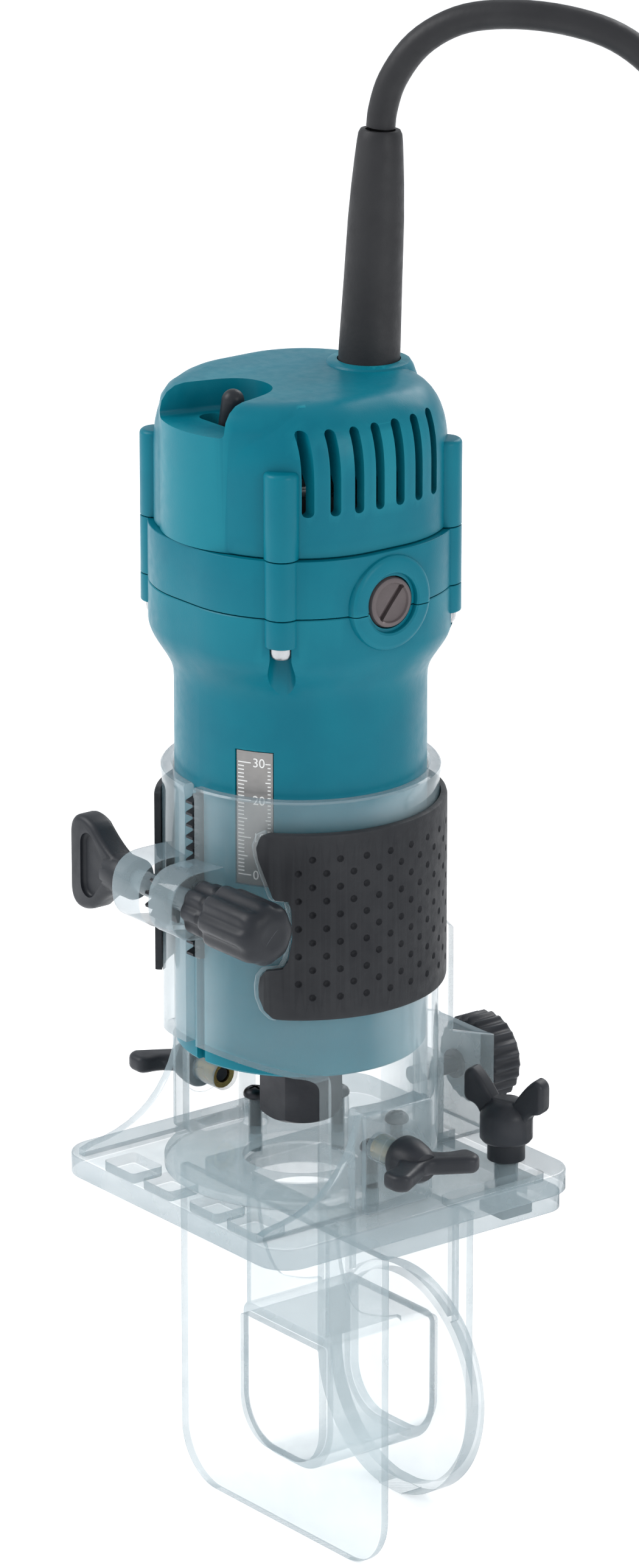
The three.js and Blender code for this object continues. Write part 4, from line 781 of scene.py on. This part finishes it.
def add_cover():
    """The top cover: shoulders with vents, the collar of the cord and the hooded pocket of the switch."""
    low, top = HIGH_SPLIT + 0.3, COVER_TOP
    rows = [(low, 0.25), (low + 0.25, 0)] + [(low + 4 * k, 0) for k in range(1, 5)]
    start, rise, draw = 158.0, 19.5, 12.0
    for k in range(13):
        t = math.pi / 2 * k / 12
        rows.append((start + rise * math.sin(t), draw * (1 - math.cos(t)) ** 1.25))
    body = solid([body_ring(BODY_CORNER - COVER_INSET - depth, BODY_OFFSET, MOTOR + m) for m, depth in rows])
    lobe = bar("z", 28.2, MOTOR + low, MOTOR + top, 0, -9.6, (0.0, 6.5), 128)
    collar = turned("z", [(20.5, MOTOR + 152), (18.0, MOTOR + 158), (13.6, MOTOR + 170), (12.2, MOTOR + 174.5),
                          (11.4, MOTOR + 176.8), (10.6, MOTOR + 178), (9.6, MOTOR + 178.4), (0.1, MOTOR + 178.4)],
                    0, GUARD_Y, 96)
    body = join(body, lobe, collar, *posts(4.5, low, 162.4, (0.2, 1.2)))
    inside = solid([body_ring(r, BODY_OFFSET, MOTOR + h) for h, r in ((130, 27.4), (158, 27.4), (165.5, 24))])
    room = bar("z", 24.8, MOTOR + 130, MOTOR + 166.2, 0, -9.6, sides=64)
    pocket = bent([(-15.5, -45), (-14.2, -38), (-12.2, -27, 0), (-10, -20), (-7.6, -11.6, 0), (0, -11.4), (7.6, -11.6, 0),
                   (10, -20), (12.2, -27, 0), (14.2, -38), (15.5, -45)], 10)
    hood = slab("z", pocket, MOTOR + 169.4, MOTOR + 186, (1.6, 0))
    slot = slab("z", rounded(-8.5, 8.5, -27.2, -20.4, 3.2), MOTOR + 160, MOTOR + 172.5)
    well = bar("z", 8.2, MOTOR + 160, MOTOR + 180, 0, GUARD_Y, sides=48)
    body = cut(body, inside, room)
    body = join(body, *posts(4.5, low, 161, (0.2, 0.2)))
    body = cut(body, hood, slot, well, *posts(1.9, low - 1, 157), *vents())
    finish(body, "cover", "motor", "teal", ["top_cover"], angle=30)


def vents():
    """Slots through both shoulders, rounded at their ends."""
    tools = []
    for i in range(7):
        y = -2 + (i - 3) * 6.4
        for s in (1, -1):
            outline = rounded(y - 1.35, y + 1.35, MOTOR + 150.6, MOTOR + 172.4, 1.3, 4)
            tools.append(slab("x", outline, *sorted((s * 24.5, s * 42))))
    return tools


def add_brush_caps():
    """Screwed brush caps with a rim, a dished face and a driver slot."""
    for side, s in SIDES.items():
        profile = [(0.1, -6.2), (6.0, -6.2), (6.5, -5.4), (6.6, -0.4), (6.3, 0.5), (5.8, 0.8), (5.2, 0.8), (4.9, 0.3),
                   (0.1, 0.15)]
        cap = turned("x", [(r, s * (BODY_HALF + out)) for r, out in profile], 0, MOTOR + 126.3, 64)
        slot = slab("x", rounded(-0.75, 0.75, MOTOR + 120.9, MOTOR + 131.7, 0.5, 3),
                    *sorted((s * (BODY_HALF - 1), s * (BODY_HALF + 2))))
        moved(slot, about(-40, "X", 0, 0, MOTOR + 126.3))
        finish(cut(cap, slot), f"brush_cap_{side}_piece", "motor", "brush_cap", [f"brush_cap_{side}"])


def add_lever():
    """The switch toggle: a hub in the slot and a round-ended lever."""
    profile = [(2.2, -1), (2.4, 2), (2.7, 6), (2.9, 11.8)]
    profile += [(2.9 * math.cos(t), 11.8 + 3 * math.sin(t)) for t in (math.pi / 2 * k / 8 for k in range(1, 9))]
    lever = turned("z", profile, sides=40)
    to = Matrix.Translation(place(0, -23.7, MOTOR + 164)) @ Matrix.Rotation(math.radians(15), 4, "Y")
    moved(lever, to @ Matrix.Translation(place(0, 0, 0)).inverted())
    hub = bar("y", 3.3, -26.6, -20.8, 0, MOTOR + 164, 0.4, 40)
    finish(join(lever, hub), "lever", "switch", "black_plastic", ["switch_lever"], angle=40)


def add_housing_screws():
    for i, (x, y) in enumerate(BOSSES, 1):
        name = f"housing_screw_{i}"
        if name not in frame["nodes"]:
            continue
        low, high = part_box(name)
        x, y = (low.x + high.x) / 2 / MM, ((low.y + high.y) / 2 - AXIS_Y) / MM
        screw = turned("z", [(0.1, MOTOR + 113.8), (1.0, MOTOR + 113.7), (2.4, MOTOR + 113.9), (3.0, MOTOR + 114.6),
                             (3.2, MOTOR + 115.6), (3.2, MOTOR + 116.7), (1.6, MOTOR + 116.7), (1.6, MOTOR + 155)], x, y, 32)
        cross = [block((x - 0.35, x + 0.35), (y - 1.7, y + 1.7), (MOTOR + 112, MOTOR + 114.8)),
                 block((x - 1.7, x + 1.7), (y - 0.35, y + 0.35), (MOTOR + 112, MOTOR + 114.8))]
        finish(cut(screw, *cross), name + "_piece", "motor", "steel", [name])


def add_scale():
    """The depth scale: a thin curved strip with raised ticks and numbers."""
    rings = [[on_drum(a, r, MOTOR + h) for r, h in ((31.8, 51.5), (32.2, 51.5), (32.2, 87), (31.8, 87))]
             for a in (-59 + 8.8 * (k / 6 - 1) for k in range(13))]
    finish(solid(rings), "scale_strip", "motor", "scale", ["depth_scale"])
    marks = bmesh.new()
    def mark(a0, a1, h, tall):
        tick = solid([[on_drum(a, r, MOTOR + g) for r, g in ((32.15, h - tall), (32.3, h - tall), (32.3, h + tall), (32.15, h + tall))]
                      for a in (a0 + (a1 - a0) * k / 4 for k in range(5))])
        marks.from_mesh(tick.data)
        bpy.data.objects.remove(tick)
    for k in range(31):
        long = 3.6 if k % 10 == 0 else 2.6 if k % 5 == 0 else 1.7
        mark(-67, -67 + long * 1.77, 54 + k, 0.14)
        mark(-51.2 - (2.4 if k % 5 == 0 else 1.4) * 1.0, -51.2, 54 + k, 0.14)
    for number in (0, 10, 20, 30):
        curve = bpy.data.curves.new("number", "FONT")
        curve.body = str(number)
        curve.size = 3.4
        curve.extrude = 0.08
        curve.align_x = "LEFT"
        curve.align_y = "CENTER"
        text = bpy.data.objects.new("number", curve)
        bpy.context.scene.collection.objects.link(text)
        bpy.context.view_layer.update()
        mesh = bpy.data.meshes.new_from_object(text.evaluated_get(bpy.context.evaluated_depsgraph_get()))
        bpy.data.objects.remove(text)
        for v in mesh.vertices:
            across, up, out = v.co
            v.co = place(*on_drum(-59.8 + across * 1.77, 32.22 + out, MOTOR + 54 + number + up))
        marks.from_mesh(mesh)
    bmesh.ops.recalc_face_normals(marks, faces=marks.faces)
    mesh = bpy.data.meshes.new("marks")
    marks.to_mesh(mesh)
    marks.free()
    obj = bpy.data.objects.new("marks", mesh)
    bpy.context.scene.collection.objects.link(obj)
    finish(obj, "scale_marks", "motor", "scale", finish_name="tick", angle=20)


def add_collet():
    """The collet nut: a hexagon with turned corners and a bore."""
    across = 18.8 / math.sqrt(3)
    nut = bar("z", across, MOTOR - 21.4, MOTOR - 3.7, sides=6)
    form = turned("z", [(8.2, MOTOR - 21.5), (9.0, MOTOR - 21.4), (10.9, MOTOR - 20.2), (10.9, MOTOR - 5), (9.4, MOTOR - 3.6)])
    nut = shared(nut, form)
    nut = cut(nut, turned("z", [(5.6, MOTOR - 22), (5.2, MOTOR - 21.2), (4.9, MOTOR - 20.8), (4.9, MOTOR - 15)]),
              bar("z", 6.3, MOTOR - 15.6, MOTOR - 3))
    finish(nut, "nut", "collet", "black_steel", ["collet_nut"], angle=30)


add_barrel()
add_middle()
add_cover()
add_brush_caps()
add_lever()
add_housing_screws()
add_scale()
add_collet()


# ---- knobs and screws ----
def fluted(r, flutes, depth, sides, power=1.0, turn=0.0):
    """Radii round a knob: flats pressed between rounded ribs."""
    radii = []
    for k in range(sides):
        wave = 0.5 - 0.5 * math.cos(flutes * (2 * math.pi * k / sides) + turn)
        radii.append(r - depth * wave ** power)
    return radii


def shaped(axis, rows, u, v):
    """A bar through (place, list of radii) rows."""
    rings = []
    for w, radii in rows:
        n = len(radii)
        rings.append([turned_to(axis, u + r * math.cos(2 * math.pi * k / n), v + r * math.sin(2 * math.pi * k / n), w)
                      for k, r in enumerate(radii)])
    return solid(rings)


def add_depth_knob():
    """The depth knob: a grooved neck, eight flats and a domed face with a shallow dish."""
    rows = []
    for w, r, depth in ((12.4, 6.4, 0.4), (12.8, 6.9, 0.7), (13.4, 7.2, 1.0), (18.6, 7.2, 1.0), (19.2, 7.0, 0.8),
                        (19.8, 6.6, 0.4), (20.6, 6.6, 0.4), (21.2, 7.6, 0.8), (22.0, 8.3, 1.0), (23.0, 8.5, 1.1), (30.0, 8.5, 1.1),
                        (37.0, 8.5, 1.0), (38.4, 8.4, 0.8), (39.6, 8.1, 0.55), (40.5, 7.6, 0.35), (41.2, 6.9, 0.2),
                        (41.8, 5.9, 0.08), (42.2, 4.8, 0), (42.35, 3.8, 0), (42.25, 3.0, 0), (42.05, 1.6, 0), (42.0, 0.2, 0)):
        rows.append((w, fluted(r, 8, depth, 128, 1.6)))
    knob = cut(shaped("x", rows, CLAMP_Y, CLAMP_H), bar("x", 3.1, 10, 24.3, CLAMP_Y, CLAMP_H, sides=32))
    finish(knob, "depth_knob_piece", "depth_drive", "black_plastic", ["depth_knob"], angle=40)


def add_clamp_knob():
    """The clamp's wing knob: a stem, a waisted paddle with hollowed faces and a thick rounded end."""
    stem = turned("x", [(3.4, -14.4), (5.0, -14.5), (5.5, -15.2), (5.5, -21), (5.2, -24.5), (3.5, -26)], CLAMP_Y, CLAMP_H, 48)
    paddle = bent([(-19.5, 84.4), (-24, 83.2, 0), (-30, 77.6), (-34, 75.6, 0), (-37, 76.6), (-40, 77.8, 0), (-40, 82),
                   (-40, 96), (-40, 100.2, 0), (-37, 101.4), (-34, 102.4, 0), (-30, 100.4), (-24, 94.8, 0), (-19.5, 93.6)], 8)
    body = join(slab("y", paddle, CLAMP_Y - 3.5, CLAMP_Y + 3.5, 1.6), stem)
    tools = []
    for s in (1, -1):
        hollow = bent([(-23.5, 87), (-25.5, 86, 0), (-29.5, 81.2), (-31.6, 79.4, 0), (-33.8, 81), (-35, 82, 0), (-35, 84),
                       (-35, 94), (-35, 96, 0), (-33.8, 97), (-31.6, 98.6, 0), (-29.5, 96.8), (-25.5, 92, 0), (-23.5, 91)], 6)
        near, far = sorted((CLAMP_Y + s * 2.1, CLAMP_Y + s * 5))
        tools.append(slab("y", hollow, near, far, (0.9, 0) if s > 0 else (0, 0.9)))
    body = cut(body, *tools, bar("x", 3.1, -22.3, -13, CLAMP_Y, CLAMP_H, sides=32))
    finish(body, "clamp_knob_piece", "clamp", "black_plastic", ["clamp_knob"], angle=40)


def wings(hub, reach, tip, base, end, valley=1.2):
    """A wing head about its axis: a hub and two rounded lobes, as (across, along) points."""
    middle = (base + end) / 2
    right = [(hub, base), (hub + 0.6, middle - 2, 0), (reach - tip, middle - 1.2), (reach, middle - 1.0, 0), (reach, middle + 1.5)]
    right += [(reach, end - tip)]
    right += [(reach - tip + tip * math.cos(t), end - tip + tip * math.sin(t)) for t in (math.pi / 2 * k / 6 for k in range(1, 7))]
    right += [(hub + 0.5, end - tip * 0.8, 0), (valley, middle + 1.4)]
    half = bent(right + [(0, middle + 1.0), (0, base)], 8)
    half = [p for p in half if p[0] > 0.01]
    return half + [(-u, w) for u, w in reversed(half)]


def add_side_screws():
    for side, s in SIDES.items():
        outline = [(u, w) if s > 0 else (u, w) for u, w in wings(5, 14, 3.5, 45.3, 59.2)]
        head = slab("z", [(s * w, u) for u, w in outline], 20.5 - 2.3, 20.5 + 2.3, 1.5)
        hub = turned("x", [(3.6, s * 42.45), (5.6, s * 42.6), (6.0, s * 43.2), (6.0, s * 45.4), (5.4, s * 48.5), (4.6, s * 51), (3.6, s * 52.4),
                           (0.1, s * 52.8)], 0, 20.5, 48)
        stud = bar("x", 1.9, s * 34.6, s * 43, 0, 20.5, sides=24)
        finish(join(head, hub, stud), f"side_wing_screw_{side}_piece", f"side_screw_{side}", "black_plastic",
               [f"side_wing_screw_{side}"], angle=40)


def add_lock():
    """The guide's lock: a square-headed bolt and a wing nut."""
    bolt = join(slab("z", rounded(LOCK_X - 5.1, LOCK_X + 5.1, LOCK_Y - 5.1, LOCK_Y + 5.1, 0.6, 3), -8.6, -5.6, (0.4, 0.2)),
                turned("z", [(2.9, -6), (2.9, 17.2), (2.3, 18), (0.1, 18)], LOCK_X, LOCK_Y, 40))
    finish(bolt, "lock_bolt", "base", "black_steel", ["guide_lock_bolt"])
    head = slab("y", wings(6, 12, 2.6, 13.3, 30.2, 3.4), -2.5, 2.5, 1.2)
    hub = turned("z", [(4.6, 6.3), (5.0, 6.5), (5.0, 11.2), (6.4, 11.6), (7.0, 12.4), (7.0, 18.6), (6.4, 20), (5.2, 21.6),
                       (3.6, 22.8), (0.1, 23.2)], sides=48)
    nut = join(head, hub)
    turn = Matrix.Translation(place(LOCK_X, LOCK_Y, 0)) @ Matrix.Rotation(math.radians(20), 4, "Z") @ Matrix.Translation(place(0, 0, 0)).inverted()
    moved(nut, turn)
    nut = cut(nut, bar("z", 3.2, 5, 18.6, LOCK_X, LOCK_Y, sides=32))
    finish(nut, "lock_nut", "guide_lock", "black_plastic", ["guide_lock_wing_nut"], angle=40)


def add_adjuster():
    """The guide's adjusting knob with its knurl and dished face."""
    rows = []
    for w, r, depth in ((52.2, 11.0, 0.2), (52.6, 11.6, 0.6), (53.2, 12, 0.75), (60.8, 12, 0.75), (61.4, 11.6, 0.6), (61.9, 10.9, 0.2),
                        (62.0, 10.2, 0), (61.8, 9.6, 0), (61.0, 8.8, 0), (60.8, 4.4, 0), (61.0, 3.8, 0), (61.0, 0.2, 0)):
        rows.append((w - 52 + PLATE_BACK, fluted(r, 24, depth, 288, 0.7)))
    knob = join(shaped("y", rows, 0, 22), bar("y", 5, PLATE_BACK, PLATE_BACK + 0.8, 0, 22, sides=40))
    knob = cut(knob, bar("y", 2.7, PLATE_BACK - 1, PLATE_BACK + 8.4, 0, 22, sides=32))
    finish(knob, "adjust_knob", "guide_adjuster", "black_plastic", ["guide_adjust_knob"], angle=40)


# ---- guide ----
def add_guide():
    """The edge guide: bracket, plate with its window, duct and rear flange, in clear plastic."""
    bracket = slab("z", rounded(-32, PLATE_HALF - 2, -8.5, PLATE_BACK - 2, [2, 2, 6, 6]), -5.3, -0.3, 0.5)
    tab = block((-5, 5), (TAB_Y - 1.5, TAB_Y + 1.5), (-4.3, 28), 0.5)
    room = slab("z", rounded(-17, 17, -3.75, 17, [1, 1, 12, 12]), -7, 2)
    slot = slab("z", rounded(LOCK_X - 3.3, LOCK_X + 3.3, LOCK_Y - 6.3, LOCK_Y + 6.3, 3.2), -7, 2)
    body = cut(join(bracket, tab), room, slot, bar("y", 2.7, TAB_Y - 4, TAB_Y + 4, 0, 22, sides=32))
    finish(body, "bracket", "guide", "clear", ["guide_bracket"], edge_of="z")
    window = [-17, 17, -75, -40]
    plate = slab("y", rounded(-43.6, 43.6, -95, -5.6, [15, 15, 1, 1], 14), -7.25, -4.75, 0.45)
    opening = slab("y", rounded(*window, [12, 12, 1, 1], 12), -9, -3)
    finish(cut(plate, opening), "guide_face", "guide", "clear", ["guide_plate"], edge_of="y")
    duct = slab("y", rounded(-19.5, 19.5, -77.5, -37.5, [14.5, 14.5, 3.5, 3.5], 12), -4.45, 29.7, 0.3)
    fin = bent([(-4.45, -38.5), (19.55, -38.5), (19.55, -36.5), (14, -36, 0), (6.55, -32.5), (0, -26, 0), (-1.45, -5.9), (-4.45, -5.9)], 8)
    fins = [slab("x", fin, s * 17 - 1, s * 17 + 1, 0.3) for s in (1, -1)]
    bore = slab("y", rounded(*window, [12, 12, 1, 1], 12), -6, 31)
    finish(cut(join(duct, *fins), bore), "duct", "guide", "clear", ["guide_duct"], edge_of="y", rim=True)
    middle, r = -63, 32
    arc = [(r * math.cos(t), middle + r * math.sin(t)) for t in (math.pi + math.pi * k / 48 for k in range(49))]
    flat = [(x, max(z, -94.85)) for x, z in arc]
    panel = slab("y", [(-32, -5.6), *flat, (32, -5.6)], 30, 32.5, 0.4)
    rim = turned("y", [(29.5, 30.5), (29.5, 36.5), (30.0, 37), (31.5, 37), (32, 36.5), (32, 30.5)], 0, middle, 96, closed=True)
    foot = block((-5, 5), (30, 37), (-95, -92.5), 0.3)
    ribs = [block((s * 22 - 0.9, s * 22 + 0.9), (31, 35), (-40, -7), 0.3) for s in (1, -1)]
    port = slab("y", rounded(*window, [12, 12, 1, 1], 12), 28, 40)
    trim = block((-60, 60), (20, 45), (-110, -95))
    finish(cut(join(panel, rim, foot, *ribs), port, trim), "rear_flange", "guide", "clear", ["guide_rear_flange"],
           edge_of="y")


add_depth_knob()
add_clamp_knob()
add_side_screws()
add_lock()
add_adjuster()
add_guide()


# ---- light and floor ----
def add_light(name, kind, energy, size, at, to, colour=(1, 1, 1)):
    data = bpy.data.lights.new(name, kind)
    data.energy = energy
    data.color = colour
    data.size = size
    light = bpy.data.objects.new(name, data)
    bpy.context.scene.collection.objects.link(light)
    light.location = at
    light.rotation_euler = (Vector(to) - Vector(at)).to_track_quat("-Z", "Y").to_euler()


def add_studio():
    world = bpy.data.worlds.new("studio")
    world.use_nodes = True
    world.node_tree.nodes["Background"].inputs["Color"].default_value = (0.93, 0.96, 1.0, 1)
    world.node_tree.nodes["Background"].inputs["Strength"].default_value = 0.75
    bpy.context.scene.world = world
    bpy.context.scene.view_settings.view_transform = "Standard"
    mesh = bpy.data.meshes.new("floor")
    mesh.from_pydata([(-8, -8, 0), (8, -8, 0), (8, 8, 0), (-8, 8, 0)], [], [(0, 1, 2, 3)])
    floor = bpy.data.objects.new("floor", mesh)
    bpy.context.scene.collection.objects.link(floor)
    material, tree, shader, where = new_material("floor")
    base = mixed(tree, noise(tree, where, 3), (0.92, 0.92, 0.92), (0.95, 0.95, 0.95))
    tree.links.new(base.outputs["Result"], shader.inputs["Base Color"])
    shader.inputs["Roughness"].default_value = 0.7
    shader.inputs["Emission Color"].default_value = (1, 1, 1, 1)
    shader.inputs["Emission Strength"].default_value = 0.3
    mesh.materials.append(material)
    middle = (0, 0, 0.2)
    add_light("key", "AREA", 16, 0.9, (-0.75, -1.05, 1.25), middle)
    add_light("side", "AREA", 5, 0.6, (1.5, 0.2, 0.7), middle)
    add_light("back", "AREA", 9, 0.8, (-0.3, 1.2, 1.1), middle)


add_studio()


# ---- CAD nodes that stay ----
def paint_nodes():
    """Gives each CAD node the procedural finish of its material slot."""
    slots = {part["node"]: part["material_slot"] for part in frame["record"]["subparts"]}
    for obj in frame["nodes"].values():
        obj.data.materials.clear()
        obj.data.materials.append(FINISH[slots[obj.name]])


paint_nodes()
